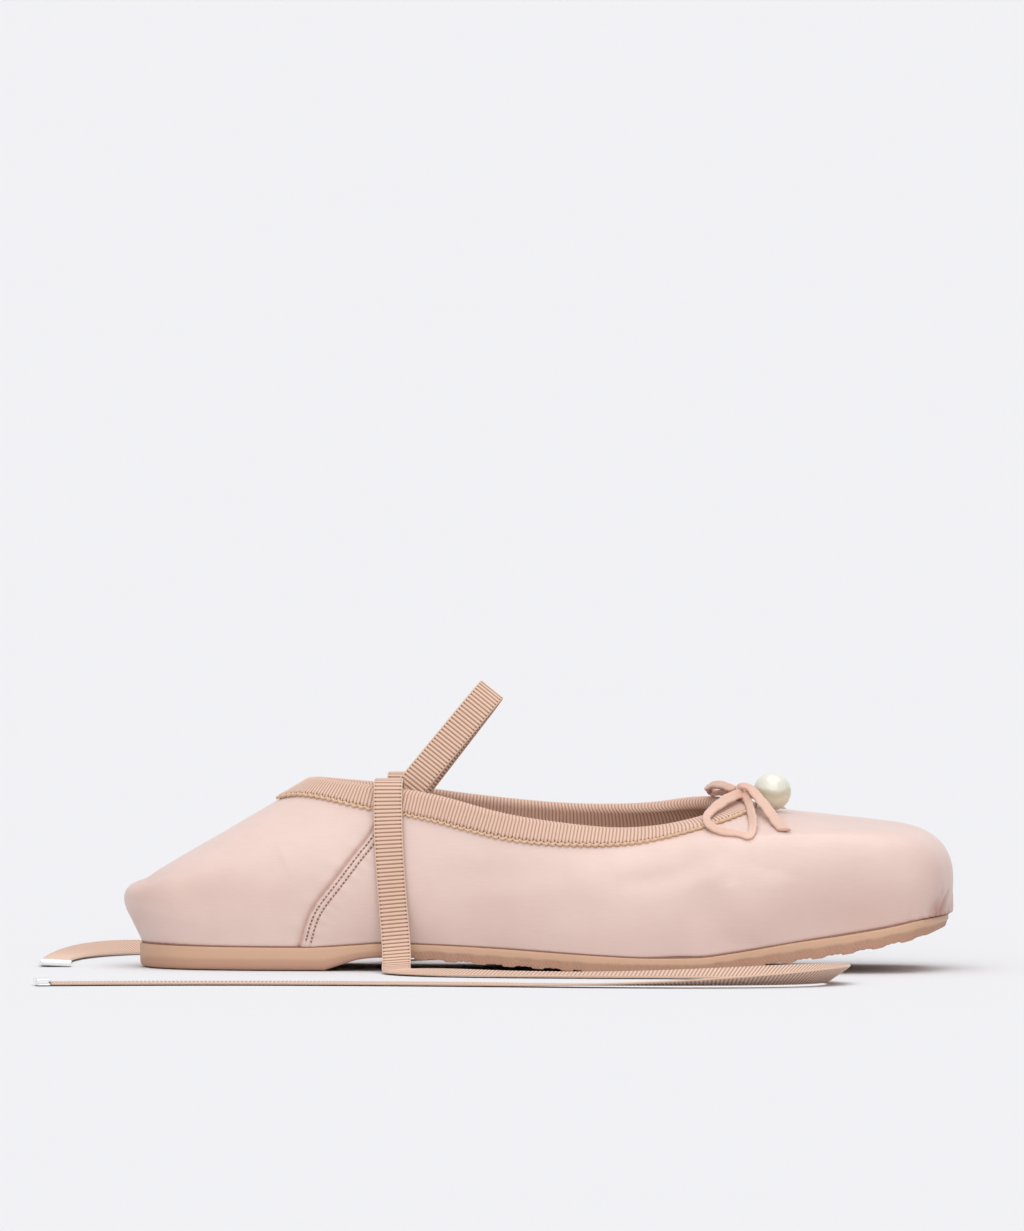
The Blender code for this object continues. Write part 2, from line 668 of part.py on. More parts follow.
def make_tie(name, rows, finish, group):
    path, _, wide = tie_route(rows, 4.0)
    keep = np.ones(len(path), bool)
    keep[24::2] = False  # the run on the floor needs fewer stations than the fold over the collar
    keep[-1] = True
    path, wide = path[keep], wide[keep]
    grid = np.stack([path - wide * RIBBON_WIDE / 2, path + wide * RIBBON_WIDE / 2], axis=1)
    obj = add_object(name, sheet(name, grid, False), finish, group)
    thicken(obj, RIBBON_THICK, 0.0)
    return obj


def make_tip(name, rows, finish, group):
    """A crimped metal end: a thin box with rounded edges, set on the end of its tie."""
    path, run, wide = tie_route(rows, 4.0)
    middle = path[-1] + run[-1] * (GAP + TIP_LONG / 2)
    middle[2] = max(middle[2], TIP_THICK / 2 + 0.05)
    cage = bmesh.new()
    bmesh.ops.create_cube(cage, size=1.0)
    bmesh.ops.scale(cage, vec=Vector((TIP_LONG, TIP_WIDE, TIP_THICK)) * MM, verts=cage.verts)
    mesh = bpy.data.meshes.new(name)
    cage.to_mesh(mesh)
    cage.free()
    obj = add_object(name, mesh, finish, group)
    obj.location = Vector(middle) * MM
    obj.rotation_euler = (0.0, 0.0, math.atan2(run[-1][1], run[-1][0]))
    soft = obj.modifiers.new("Edges", "BEVEL")
    soft.width = 0.35 * MM
    soft.segments = 2
    return obj


def vamp_height(skin_tree, x, y):
    """Height of the upper here or, over the opening, of the nearest place on its collar edge."""
    place = skin_tree.ray_cast(Vector((x, y, 120.0)), Vector((0.0, 0.0, -1.0)))[0]
    if place is None:
        place = skin_tree.find_nearest(Vector((x, y, SECTIONS[-1].top_zl)))[0]
    return place.z


def make_bow_cord(name, rows, skin_tree, finish, group):
    points = [(p.x, p.y, vamp_height(skin_tree, p.x, p.y) + CORD_RADIUS + p.lift) for p in rows]
    path = through(points, 3.0)
    curve = bpy.data.curves.new(name, "CURVE")
    curve.dimensions = "3D"
    curve.bevel_depth = CORD_RADIUS * MM
    curve.bevel_resolution = 1
    curve.use_fill_caps = True
    line = curve.splines.new("POLY")
    line.points.add(len(path) - 1)
    for point, place in zip(line.points, path):
        point.co = (*(place * MM), 1.0)
    return add_object(name, curve, finish, group)


def make_ball(name, middle, half, rings, finish, group):
    cage = bmesh.new()
    bmesh.ops.create_uvsphere(cage, u_segments=2 * rings, v_segments=rings, radius=MM)
    bmesh.ops.scale(cage, vec=Vector(half), verts=cage.verts)
    mesh = bpy.data.meshes.new(name)
    cage.to_mesh(mesh)
    cage.free()
    obj = add_object(name, mesh, finish, group)
    obj.location = Vector(middle) * MM
    return obj


def main():
    clear_scene()
    group = bpy.data.collections.new("ballet_flat")
    bpy.context.scene.collection.children.link(group)

    satin = material("blush_satin", (0.80, 0.62, 0.55), 0.38)
    grosgrain = material("grosgrain", (0.66, 0.44, 0.33), 0.75)
    rubber = material("tan_rubber", (0.58, 0.36, 0.25), 0.6)
    board = material("insole_leather", (0.72, 0.52, 0.42), 0.65)
    metal = material("polished_metal", (0.85, 0.85, 0.84), 0.15, 1.0)
    nacre = material("pearl_nacre", (0.88, 0.86, 0.78), 0.18)
    cord = material("satin_cord", (0.72, 0.52, 0.44), 0.45)

    make_outsole(rubber, group)
    make_insole(board, group)
    make_upper(satin, group)
    make_binding(grosgrain, group)
    make_strap(grosgrain, group)
    make_tie("tie_lateral", TIE_LATERAL, grosgrain, group)
    make_tie("tie_medial", TIE_MEDIAL, grosgrain, group)
    make_tip("tie_tip_lateral", TIE_LATERAL, metal, group)
    make_tip("tie_tip_medial", TIE_MEDIAL, metal, group)

    grid = skin_grid(rib_stations(3), 40)
    count, size = grid.shape[:2]
    quads = [
        (i * size + j, (i + 1) % count * size + j, (i + 1) % count * size + j + 1, i * size + j + 1)
        for i in range(count)
        for j in range(size - 1)
    ]
    skin_tree = BVHTree.FromPolygons([Vector(p) for p in grid.reshape(-1, 3)], quads)
    make_bow_cord("bow_loop_lateral", BOW_LOOP_LATERAL, skin_tree, cord, group)
    make_bow_cord("bow_loop_medial", BOW_LOOP_MEDIAL, skin_tree, cord, group)
    make_bow_cord("bow_tail_lateral", BOW_TAIL_LATERAL, skin_tree, cord, group)
    make_bow_cord("bow_tail_medial", BOW_TAIL_MEDIAL, skin_tree, cord, group)
    knot_z = SECTIONS[-1].top_zl + throat_rise(*KNOT_AT) + GAP + KNOT_SIZE[2]
    make_ball("bow_knot", (*KNOT_AT, knot_z), KNOT_SIZE, 8, cord, group)
    pearl_z = vamp_height(skin_tree, *PEARL_AT) + PEARL_RADIUS + PEARL_LIFT
    make_ball("pearl", (*PEARL_AT, pearl_z), (PEARL_RADIUS,) * 3, 12, nacre, group)


main()
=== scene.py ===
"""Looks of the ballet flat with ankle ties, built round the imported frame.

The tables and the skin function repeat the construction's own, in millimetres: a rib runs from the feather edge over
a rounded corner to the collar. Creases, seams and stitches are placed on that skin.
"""

import math
from collections import namedtuple

import bmesh
import bpy
import numpy as np
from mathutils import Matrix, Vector
from mathutils.bvhtree import BVHTree


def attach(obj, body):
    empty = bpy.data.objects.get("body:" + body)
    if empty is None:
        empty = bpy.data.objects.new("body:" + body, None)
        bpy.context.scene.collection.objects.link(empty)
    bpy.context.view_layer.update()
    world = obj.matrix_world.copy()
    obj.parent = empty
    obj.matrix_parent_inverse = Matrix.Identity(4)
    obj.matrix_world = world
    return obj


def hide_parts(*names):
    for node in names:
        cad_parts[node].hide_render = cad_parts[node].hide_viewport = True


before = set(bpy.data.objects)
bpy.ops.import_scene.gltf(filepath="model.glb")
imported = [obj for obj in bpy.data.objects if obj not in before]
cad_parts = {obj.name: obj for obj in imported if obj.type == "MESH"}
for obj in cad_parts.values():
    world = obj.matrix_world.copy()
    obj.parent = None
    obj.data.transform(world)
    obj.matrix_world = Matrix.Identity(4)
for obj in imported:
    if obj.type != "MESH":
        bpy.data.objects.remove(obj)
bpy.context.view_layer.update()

MM = 0.001

# ------------------------------------------------------------------ named sizes
WALL = 1.8  # satin, backing and lining together
GAP = 0.3  # clearance between pieces that touch on the real shoe
BAND = 0.9  # thickness of the folded grosgrain binding on each face
SOLE_LEDGE = 0.8  # the outsole stands this far outside the upper
SOLE_INSET = 0.9  # and its lower edge is drawn in by this much
INSOLE_THICK = 2.0
INSOLE_INSET = 2.7
RIBBON_WIDE = 8.8
RIBBON_THICK = 0.8
STRAP_THICK = 0.9
CORD_RADIUS = 1.25  # satin cord of the bow
PEARL_RADIUS = 5.8
TIP_LONG, TIP_WIDE, TIP_THICK = 4.4, 9.6, 2.0
LUG_DEEP = 1.1

# ------------------------------------------------------------------ tables
# One row for each rib from the middle of the heel to the middle of the toe. Both sides share a row.
#   foot_x, foot_l, foot_m   feather edge: station along the shoe, half width on the lateral and medial side
#   top_x, top_l, top_m      collar edge: station and half widths
#   top_zl, top_zm           height of the finished collar edge on each side
#   out, along, up           corner of the rib: outside the feather edge, share of the way to the collar, height
#   low, high                rounding: share of the lower leg, and millimetres of the upper leg
#   band                     width of the binding, measured down the rib
Section = namedtuple(
    "Section",
    "name foot_x foot_l foot_m top_x top_l top_m top_zl top_zm out along up low high band",
)
SECTIONS = [
    Section("heel_back", -121.6, 0.0, 0.0, -70.6, 0.0, 0.0, 57.7, 57.7, 7.2, 0.00, 14.8, 0.38, 6.8, 11.0),
    Section("heel_round", -118.8, 10.5, 10.0, -69.2, 6.8, 6.6, 57.8, 57.6, 6.9, 0.00, 14.8, 0.40, 7.5, 9.2),
    Section("heel_corner", -110.8, 20.0, 19.5, -64.8, 13.4, 13.0, 57.7, 57.0, 6.2, 0.02, 15.5, 0.50, 11.0, 7.4),
    Section("heel_side", -96.0, 26.0, 25.0, -56.5, 19.6, 19.2, 57.0, 56.0, 5.6, 0.12, 17.5, 0.70, 20.0, 7.2),
    Section("quarter", -70.0, 28.0, 26.5, -46.0, 24.0, 23.2, 55.6, 54.6, 5.6, 0.25, 19.5, 0.80, 26.0, 6.9),
    Section("waist", -40.0, 27.5, 24.5, -30.0, 26.6, 25.2, 53.1, 52.2, 6.2, 0.35, 20.0, 0.85, 26.0, 6.6),
    Section("waist_front", -8.0, 31.0, 27.0, -10.0, 28.2, 26.4, 48.0, 49.9, 6.6, 0.40, 19.0, 0.90, 24.0, 6.8),
    Section("ball_back", 22.0, 37.0, 33.5, 8.0, 28.8, 27.4, 45.4, 48.8, 6.8, 0.30, 21.0, 0.90, 22.0, 7.5),
    Section("ball", 50.0, 38.5, 37.0, 24.0, 28.4, 27.6, 44.1, 49.0, 6.8, 0.20, 25.0, 0.85, 22.0, 9.2),
    Section("ball_front", 78.5, 36.0, 36.0, 37.0, 26.8, 26.4, 44.6, 50.2, 6.2, 0.08, 29.5, 0.72, 22.0, 11.2),
    Section("toe_side", 101.0, 32.5, 32.5, 46.2, 23.6, 23.4, 46.1, 51.4, 4.8, 0.03, 29.0, 0.66, 20.0, 9.4),
    Section("toe_corner", 114.2, 29.0, 28.5, 53.2, 18.6, 18.4, 47.8, 51.4, 3.4, 0.00, 26.6, 0.64, 18.0, 7.6),
    Section("toe_turn", 121.6, 22.0, 21.5, 57.4, 12.6, 12.4, 49.1, 50.8, 2.4, 0.00, 25.4, 0.66, 18.0, 7.0),
    Section("toe_front", 124.8, 11.0, 10.8, 59.8, 6.4, 6.3, 49.8, 50.3, 1.9, 0.00, 25.0, 0.68, 18.0, 6.6),
    Section("toe_middle", 125.7, 0.0, 0.0, 60.5, 0.0, 0.0, 50.0, 50.0, 1.9, 0.00, 24.9, 0.68, 18.0, 6.6),
]

# Under the bow the throat of the upper stands up in a soft rise: its middle, half sizes and height
Rise = namedtuple("Rise", "x long wide high")
THROAT = Rise(58.0, 10.0, 13.0, 1.3)

# Height of the outsole's top and bottom at each station: heel seat, breast, arch, ball, toe spring.
SolePoint = namedtuple("SolePoint", "x top bottom")
SOLE = [
    SolePoint(-123.0, 7.2, 0.0),
    SolePoint(-100.0, 7.0, 0.0),
    SolePoint(-72.0, 6.9, 0.0),
    SolePoint(-63.5, 7.1, 0.0),
    SolePoint(-54.0, 7.7, 3.1),
    SolePoint(-46.0, 8.2, 3.9),
    SolePoint(-32.0, 7.9, 3.1),
    SolePoint(-8.0, 6.8, 1.5),
    SolePoint(10.0, 5.7, 0.55),
    SolePoint(21.0, 5.1, 0.0),
    SolePoint(37.0, 4.5, 0.0),
    SolePoint(51.0, 4.7, 0.0),
    SolePoint(62.0, 6.1, 1.2),
    SolePoint(80.0, 9.2, 3.4),
    SolePoint(98.0, 11.9, 6.0),
    SolePoint(112.0, 14.4, 8.8),
    SolePoint(120.0, 16.2, 10.9),
    SolePoint(126.6, 17.0, 13.6),
]
STRAIGHT_SPANS = ((-123.0, -63.5), (-63.5, -54.0), (21.0, 51.0))  # flat heel, breast and flat tread spot

# Cross lugs: first and last lug middle, pitch, width of a lug
LugRow = namedtuple("LugRow", "first last pitch wide")
LUGS = [LugRow(-34.0, 11.0, 9.0, 6.0), LugRow(61.0, 115.0, 9.0, 6.0)]

# Instep strap, an arch in a plane that leans forward: across the shoe, and along the lean from the collar edge
STRAP_ROOT = (-38.7, 54.5)  # x and z of the ribbon's middle at the collar edge
STRAP_LEAN = 51.4  # degrees above the floor
ArchPoint = namedtuple("ArchPoint", "across along")
ARCH = [
    ArchPoint(-17.9, -12.0),
    ArchPoint(-17.9, -6.0),
    ArchPoint(-17.6, 1.0),
    ArchPoint(-13.2, 14.0),
    ArchPoint(-6.4, 31.0),
    ArchPoint(-3.0, 36.6),
    ArchPoint(0.0, 38.4),
    ArchPoint(3.0, 36.6),
    ArchPoint(6.4, 31.0),
    ArchPoint(12.8, 14.0),
    ArchPoint(17.0, 1.0),
    ArchPoint(17.3, -6.0),
    ArchPoint(17.3, -12.0),
]

# The ties: sewn inside the collar, out over its edge, down the side and away along the floor.
# rise is the height of the ribbon's lowest edge, turn how far the ribbon is rolled on to its edge, in degrees
TiePoint = namedtuple("TiePoint", "x y rise turn")
TIE_LATERAL = [
    TiePoint(-44.0, -19.2, 45.0, 0),
    TiePoint(-44.0, -19.2, 53.0, 0),
    TiePoint(-44.0, -20.2, 56.4, 0),
    TiePoint(-44.0, -23.4, 57.5, 0),
    TiePoint(-44.0, -26.4, 55.6, 0),
    TiePoint(-43.9, -28.6, 49.0, 0),
    TiePoint(-43.4, -31.0, 38.0, 0),
    TiePoint(-42.4, -32.2, 24.0, 0),
    TiePoint(-41.2, -33.4, 11.0, 0),
    TiePoint(-40.4, -38.0, 2.4, 0),
    TiePoint(-39.0, -47.0, 0.0, -2),
    TiePoint(-29.0, -58.0, 0.0, 1),
    TiePoint(-6.0, -64.0, 0.0, -1),
    TiePoint(28.0, -66.0, 0.0, -1),
    TiePoint(60.0, -68.0, 0.0, 8),
    TiePoint(85.0, -76.0, 0.0, 19),
    TiePoint(98.0, -92.0, 0.0, 25),
    TiePoint(95.0, -110.0, 0.0, 24),
    TiePoint(77.0, -122.0, 0.0, 14),
    TiePoint(46.0, -126.0, 0.0, 1),
    TiePoint(10.0, -123.0, 0.0, -7),
    TiePoint(-28.0, -119.0, 0.0, -8),
    TiePoint(-66.0, -118.0, 0.0, -8),
    TiePoint(-104.0, -121.0, 0.0, -8),
    TiePoint(-137.0, -127.0, 0.0, -8),
]
TIE_MEDIAL = [
    TiePoint(-44.0, 18.3, 45.0, 0),
    TiePoint(-44.0, 18.3, 53.0, 0),
    TiePoint(-44.0, 19.3, 56.6, 0),
    TiePoint(-44.0, 22.6, 57.8, 0),
    TiePoint(-44.0, 25.9, 55.8, 0),
    TiePoint(-44.2, 28.2, 49.0, 0),
    TiePoint(-45.0, 30.2, 38.0, 0),
    TiePoint(-46.4, 30.8, 24.0, 0),
    TiePoint(-48.0, 31.6, 11.0, 0),
    TiePoint(-48.0, 36.0, 2.4, 0),
    TiePoint(-44.0, 46.0, 0.0, 0),
    TiePoint(-30.0, 59.0, 0.0, -10),
    TiePoint(-4.0, 67.0, 0.0, -24),
    TiePoint(28.0, 70.0, 0.0, -50),
    TiePoint(54.0, 75.0, 0.0, -84),
    TiePoint(64.0, 89.0, 0.0, -90),
    TiePoint(50.0, 102.0, 0.0, -84),
    TiePoint(16.0, 103.0, 0.0, -50),
    TiePoint(-24.0, 96.0, 0.0, -14),
    TiePoint(-66.0, 92.0, 0.0, 0),
    TiePoint(-104.0, 90.0, 0.0, -2),
    TiePoint(-133.0, 76.0, 0.0, -12),
    TiePoint(-147.0, 50.0, 0.0, -4),
    TiePoint(-150.0, 20.0, 0.0, 8),
    TiePoint(-148.0, -4.0, 0.0, 8),
]

# Bow of satin cord on the throat: station, distance across, and height of the cord's middle above the vamp
BowPoint = namedtuple("BowPoint", "x y lift")
BOW_LOOP_LATERAL = [
    BowPoint(61.6, -3.2, 2.6),
    BowPoint(59.8, -9.0, 2.7),
    BowPoint(57.5, -15.4, 2.5),
    BowPoint(54.8, -21.8, 2.2),
    BowPoint(53.0, -27.0, 2.2),
    BowPoint(53.6, -30.8, 1.8),
    BowPoint(56.2, -33.8, 1.5),
    BowPoint(59.6, -35.4, 1.4),
    BowPoint(63.4, -36.4, 1.4),
    BowPoint(66.6, -36.6, 1.4),
    BowPoint(68.2, -34.0, 1.4),
    BowPoint(67.6, -26.0, 1.6),
    BowPoint(66.2, -17.0, 1.8),
    BowPoint(64.0, -7.0, 2.0),
]
BOW_LOOP_MEDIAL = [
    BowPoint(58.0, 2.8, 3.2),
    BowPoint(55.4, 7.0, 4.0),
    BowPoint(52.8, 11.6, 4.3),
    BowPoint(51.0, 16.2, 3.8),
    BowPoint(50.8, 20.6, 3.0),
    BowPoint(52.8, 24.0, 2.8),
    BowPoint(56.6, 24.0, 2.6),
    BowPoint(59.6, 18.4, 2.5),
    BowPoint(61.2, 12.4, 2.5),
    BowPoint(62.4, 7.4, 2.5),
]
BOW_TAIL_LATERAL = [
    BowPoint(60.4, -3.4, 5.0),
    BowPoint(61.8, -4.0, 5.7),
    BowPoint(64.0, -5.4, 5.5),
    BowPoint(66.4, -8.0, 4.4),
    BowPoint(69.4, -14.0, 2.8),
    BowPoint(72.9, -22.8, 1.5),
    BowPoint(77.3, -35.0, 1.4),
]
BOW_TAIL_MEDIAL = [
    BowPoint(60.8, 3.4, 4.7),
    BowPoint(62.8, 4.8, 5.1),
    BowPoint(65.6, 7.6, 4.3),
    BowPoint(68.2, 12.6, 2.6),
    BowPoint(70.4, 20.0, 1.8),
    BowPoint(71.6, 28.0, 1.5),
]
KNOT_AT = (60.2, 0.0)
KNOT_SIZE = (2.6, 2.2, 2.6)  # half lengths
PEARL_AT = (71.1, 0.0)
PEARL_LIFT = 0.7  # the pearl's underside over the satin, where it clears the edge of the binding


# ------------------------------------------------------------------ curves through the rows
def spline_slopes(t, y, closed):
    """Second derivatives of the cubic spline through the points, natural at its ends or closed."""
    n = len(t) - 1 if closed else len(t)
    h = np.diff(t)
    system = np.zeros((n, n))
    right = np.zeros((n, y.shape[1]))
    for i in range(n):
        if not closed and i in (0, n - 1):
            system[i, i] = 1.0
            continue
        before, after = h[i - 1], h[i]
        system[i, (i - 1) % n] += before
        system[i, i] += 2 * (before + after)
        system[i, (i + 1) % n] += after
        y_before = y[i - 1] if i else y[n - 1]
        right[i] = 6 * ((y[i + 1] - y[i]) / after - (y[i] - y_before) / before)
    bends = np.linalg.solve(system, right)
    return np.vstack([bends, bends[:1]]) if closed else bends


class Spline:
    """A cubic spline through rows of numbers; a closed one repeats its first row at the end."""

    def __init__(self, t, rows, closed=False):
        self.t = np.asarray(t, float)
        self.y = np.asarray(rows, float)
        self.closed = closed
        self.m = spline_slopes(self.t, self.y, closed)

    def __call__(self, at):
        at = np.asarray(at, float)
        if self.closed:
            at = self.t[0] + np.mod(at - self.t[0], self.t[-1] - self.t[0])
        i = np.clip(np.searchsorted(self.t, at, side="right") - 1, 0, len(self.t) - 2)
        h = (self.t[i + 1] - self.t[i])[..., None]
        a = (self.t[i + 1] - at)[..., None] / h
        b = 1 - a
        curve = a * self.y[i] + b * self.y[i + 1]
        return curve + ((a**3 - a) * self.m[i] + (b**3 - b) * self.m[i + 1]) * h**2 / 6


def through(points, step):
    """A smooth open curve through 3-D points, sampled about every step millimetres."""
    points = np.asarray(points, float)
    t = np.concatenate([[0], np.cumsum(np.sqrt(np.linalg.norm(np.diff(points[:, :3], axis=0), axis=1)))])
    curve = Spline(t, points)
    fine = curve(np.linspace(0, t[-1], 8000))
    run = np.concatenate([[0], np.cumsum(np.linalg.norm(np.diff(fine[:, :3], axis=0), axis=1))])
    count = max(3, int(round(run[-1] / step)) + 1)
    want = np.linspace(0, run[-1], count)
    return np.stack([np.interp(want, run, fine[:, k]) for k in range(points.shape[1])], axis=1)


# ------------------------------------------------------------------ outsole heights
def ramp(table, column):
    xs = np.array([row.x for row in table])
    zs = np.array([getattr(row, column) for row in table])
    slope = np.gradient(zs, xs)
    secant = np.diff(zs) / np.diff(xs)
    # A slope is limited so that the curve never swings past its rows.
    for i in range(1, len(xs) - 1):
        if secant[i - 1] * secant[i] <= 0:
            slope[i] = 0
        else:
            slope[i] = math.copysign(min(abs(slope[i]), 2 * abs(secant[i - 1]), 2 * abs(secant[i])), slope[i])
    slope[0], slope[-1] = secant[0], secant[-1]

    def height(x):
        x = np.clip(np.asarray(x, float), xs[0], xs[-1])
        i = np.clip(np.searchsorted(xs, x, side="right") - 1, 0, len(xs) - 2)
        h = xs[i + 1] - xs[i]
        s = (x - xs[i]) / h
        z = (
            zs[i] * (1 + 2 * s) * (1 - s) ** 2
            + slope[i] * h * s * (1 - s) ** 2
            + zs[i + 1] * s**2 * (3 - 2 * s)
            + slope[i + 1] * h * s**2 * (s - 1)
        )
        if column == "bottom":
            for start, end in STRAIGHT_SPANS:
                line = np.interp(x, (start, end), (np.interp(start, xs, zs), np.interp(end, xs, zs)))
                z = np.where((x >= start) & (x <= end), line, z)
        return z

    return height


seat = ramp(SOLE, "top")
ground = ramp(SOLE, "bottom")


# ------------------------------------------------------------------ the last's skin
def closed_rows():
    """The rows as one ring: down the lateral side from heel to toe, and back along the medial side."""
    ring = []
    for row in SECTIONS:
        ring.append((row.foot_x, -row.foot_l, row.top_x, -row.top_l, row.top_zl) + tuple(row[9:]))
    for row in SECTIONS[-2:0:-1]:
        ring.append((row.foot_x, row.foot_m, row.top_x, row.top_m, row.top_zm) + tuple(row[9:]))
    ring.append(ring[0])
    return np.array(ring, float)


def ring_places():
    """Distance of each row round the ring, the same on both sides, so that s and WHOLE - s face each other."""
    mean = np.array([(row.foot_x, (row.foot_l + row.foot_m) / 2) for row in SECTIONS])
    side = np.concatenate([[0], np.cumsum(np.linalg.norm(np.diff(mean, axis=0), axis=1))])
    return np.concatenate([side, 2 * side[-1] - side[-2::-1]])


LENGTHS = ring_places()
ROUND = Spline(LENGTHS, closed_rows(), closed=True)
TOE_AT = LENGTHS[len(SECTIONS) - 1]
WHOLE = LENGTHS[-1]


def outline(s, offset=0.0):
    """The feather edge seen from above, moved outwards by offset, and its outward direction."""
    here = ROUND(s)[..., :2]
    step = 0.05
    run = ROUND(np.asarray(s) + step)[..., :2] - ROUND(np.asarray(s) - step)[..., :2]
    out = np.stack([run[..., 1], -run[..., 0]], axis=-1)
    out /= np.linalg.norm(out, axis=-1, keepdims=True)
    return here + offset * out, out


def throat_rise(x, y):
    return THROAT.high * np.exp(-(((x - THROAT.x) / THROAT.long) ** 2) - (y / THROAT.wide) ** 2)


def skin(s, v):
    """Points of the upper's outer face: s runs round the shoe, v from feather edge (0) to collar (1)."""
    s = np.asarray(s, float)
    v = np.asarray(v, float)
    row = ROUND(s)
    foot_xy, out = outline(s)
    foot = np.concatenate([foot_xy, (seat(foot_xy[..., 0]) + GAP)[..., None]], axis=-1)
    top = np.stack([row[..., 2], row[..., 3], row[..., 4] - GAP - BAND], axis=-1)
    plan = top - foot
    corner = foot + np.concatenate([out * row[..., 5:6], row[..., 7:8]], axis=-1)
    corner[..., :2] += plan[..., :2] * row[..., 6:7]
    lower = np.linalg.norm(foot - corner, axis=-1)
    upper = np.linalg.norm(top - corner, axis=-1)
    low = np.clip(row[..., 8], 0.05, 0.97)
    high = np.minimum(row[..., 9] / upper, 0.97)
    first = corner + (foot - corner) * low[..., None]
    second = corner + (top - corner) * high[..., None]
    bend = 0.85 * (low * lower + high * upper)
    parts = np.stack([(1 - low) * lower, bend, (1 - high) * upper])
    share = parts / parts.sum(axis=0)
    v1 = 0.55 * share[0] + 0.45 * 0.14
    v2 = 0.55 * (share[0] + share[1]) + 0.45 * 0.68
    a = np.clip(v / v1, 0, 1)[..., None]
    b = np.clip((v - v1) / (v2 - v1), 0, 1)[..., None]
    c = np.clip((v - v2) / (1 - v2), 0, 1)[..., None]
    on_low = foot + (first - foot) * a
    on_bend = first * (1 - b) ** 2 + corner * 2 * b * (1 - b) + second * b**2
    on_high = second + (top - second) * c
    v = v[..., None]
    points = np.where(v < v1[..., None], on_low, np.where(v < v2[..., None], on_bend, on_high))
    points[..., 2] += throat_rise(points[..., 0], points[..., 1])
    return points


def rib_stations(each):
    """Rib places: the same number between every two rows."""
    stops = [np.linspace(LENGTHS[i], LENGTHS[i + 1], each, endpoint=False) for i in range(len(LENGTHS) - 1)]
    return np.concatenate(stops)


def skin_grid(stations, count):
    v = np.linspace(0, 1, count)
    s = np.repeat(stations[:, None], count, axis=1)
    return skin(s, np.repeat(v[None, :], len(stations), axis=0))


def outward(grid):
    """Outward normals of a grid that is closed round the shoe."""
    along = np.roll(grid, -1, axis=0) - np.roll(grid, 1, axis=0)
    up = np.gradient(grid, axis=1)
    normal = np.cross(along, up)
    return normal / np.linalg.norm(normal, axis=-1, keepdims=True)


def below_top(grid, normals, depth):
    """Point, normal and upward direction at a distance down each rib from the collar edge."""
    depth = np.broadcast_to(depth, grid.shape[:1])
    points, faces, ups = [], [], []
    for rib, normal, want in zip(grid[:, ::-1], normals[:, ::-1], depth):
        run = np.concatenate([[0], np.cumsum(np.linalg.norm(np.diff(rib, axis=0), axis=1))])
        at = [np.interp(want, run, rib[:, k]) for k in range(3)]
        out = np.array([np.interp(want, run, normal[:, k]) for k in range(3)])
        nearby = [np.interp(want + 1.0, run, rib[:, k]) for k in range(3)]
        up = np.array(at) - np.array(nearby)
        points.append(at)
        faces.append(out / np.linalg.norm(out))
        ups.append(up / np.linalg.norm(up))
    return np.array(points), np.array(faces), np.array(ups)



# ------------------------------------------------------------------ small helpers
def ease(low, high, x):
    """0 below low, 1 above high, and a smooth step between."""
    t = np.clip((np.asarray(x, float) - low) / (high - low), 0.0, 1.0)
    return t * t * (3 - 2 * t)


def unit(v):
    v = np.asarray(v, float)
    return v / np.maximum(np.linalg.norm(v, axis=-1, keepdims=True), 1e-12)


def wobble(x, y, seed=0.0):
    """A slow smooth unevenness between -1 and 1."""
    return (
        np.sin(x * 0.73 + 1.3 * np.sin(y * 0.31 + seed) + seed * 2.1)
        + 0.6 * np.sin(y * 0.57 + 1.1 * np.sin(x * 0.41 + 0.7 + seed))
        + 0.4 * np.sin((x + y) * 1.13 + seed * 3.7)
    ) / 2.0


def put_together(name, points, faces, uv, finishes, picks=None, smooth=True, weld=False, shade=None):
    mesh = bpy.data.meshes.new(name)
    mesh.from_pydata((np.asarray(points, float) * MM).tolist(), [], faces)
    if shade is not None:
        mesh.attributes.new("shade", "FLOAT", "POINT").data.foreach_set("value", np.asarray(shade, np.float32).ravel())
    layer = mesh.uv_layers.new(name="UVMap")
    layer.data.foreach_set("uv", np.asarray(uv, np.float32).ravel())
    if picks is not None:
        mesh.polygons.foreach_set("material_index", np.asarray(picks, np.int32))
    mesh.polygons.foreach_set("use_smooth", np.full(len(faces), smooth, bool))
    for finish in finishes:
        mesh.materials.append(finish)
    cage = bmesh.new()
    cage.from_mesh(mesh)
    if weld:
        bmesh.ops.remove_doubles(cage, verts=cage.verts, dist=2e-6)
        bmesh.ops.dissolve_degenerate(cage, edges=cage.edges, dist=1e-6)
    bmesh.ops.recalc_face_normals(cage, faces=cage.faces)
    cage.to_mesh(mesh)
    cage.free()
    obj = bpy.data.objects.new(name, mesh)
    bpy.context.scene.collection.objects.link(obj)
    return obj


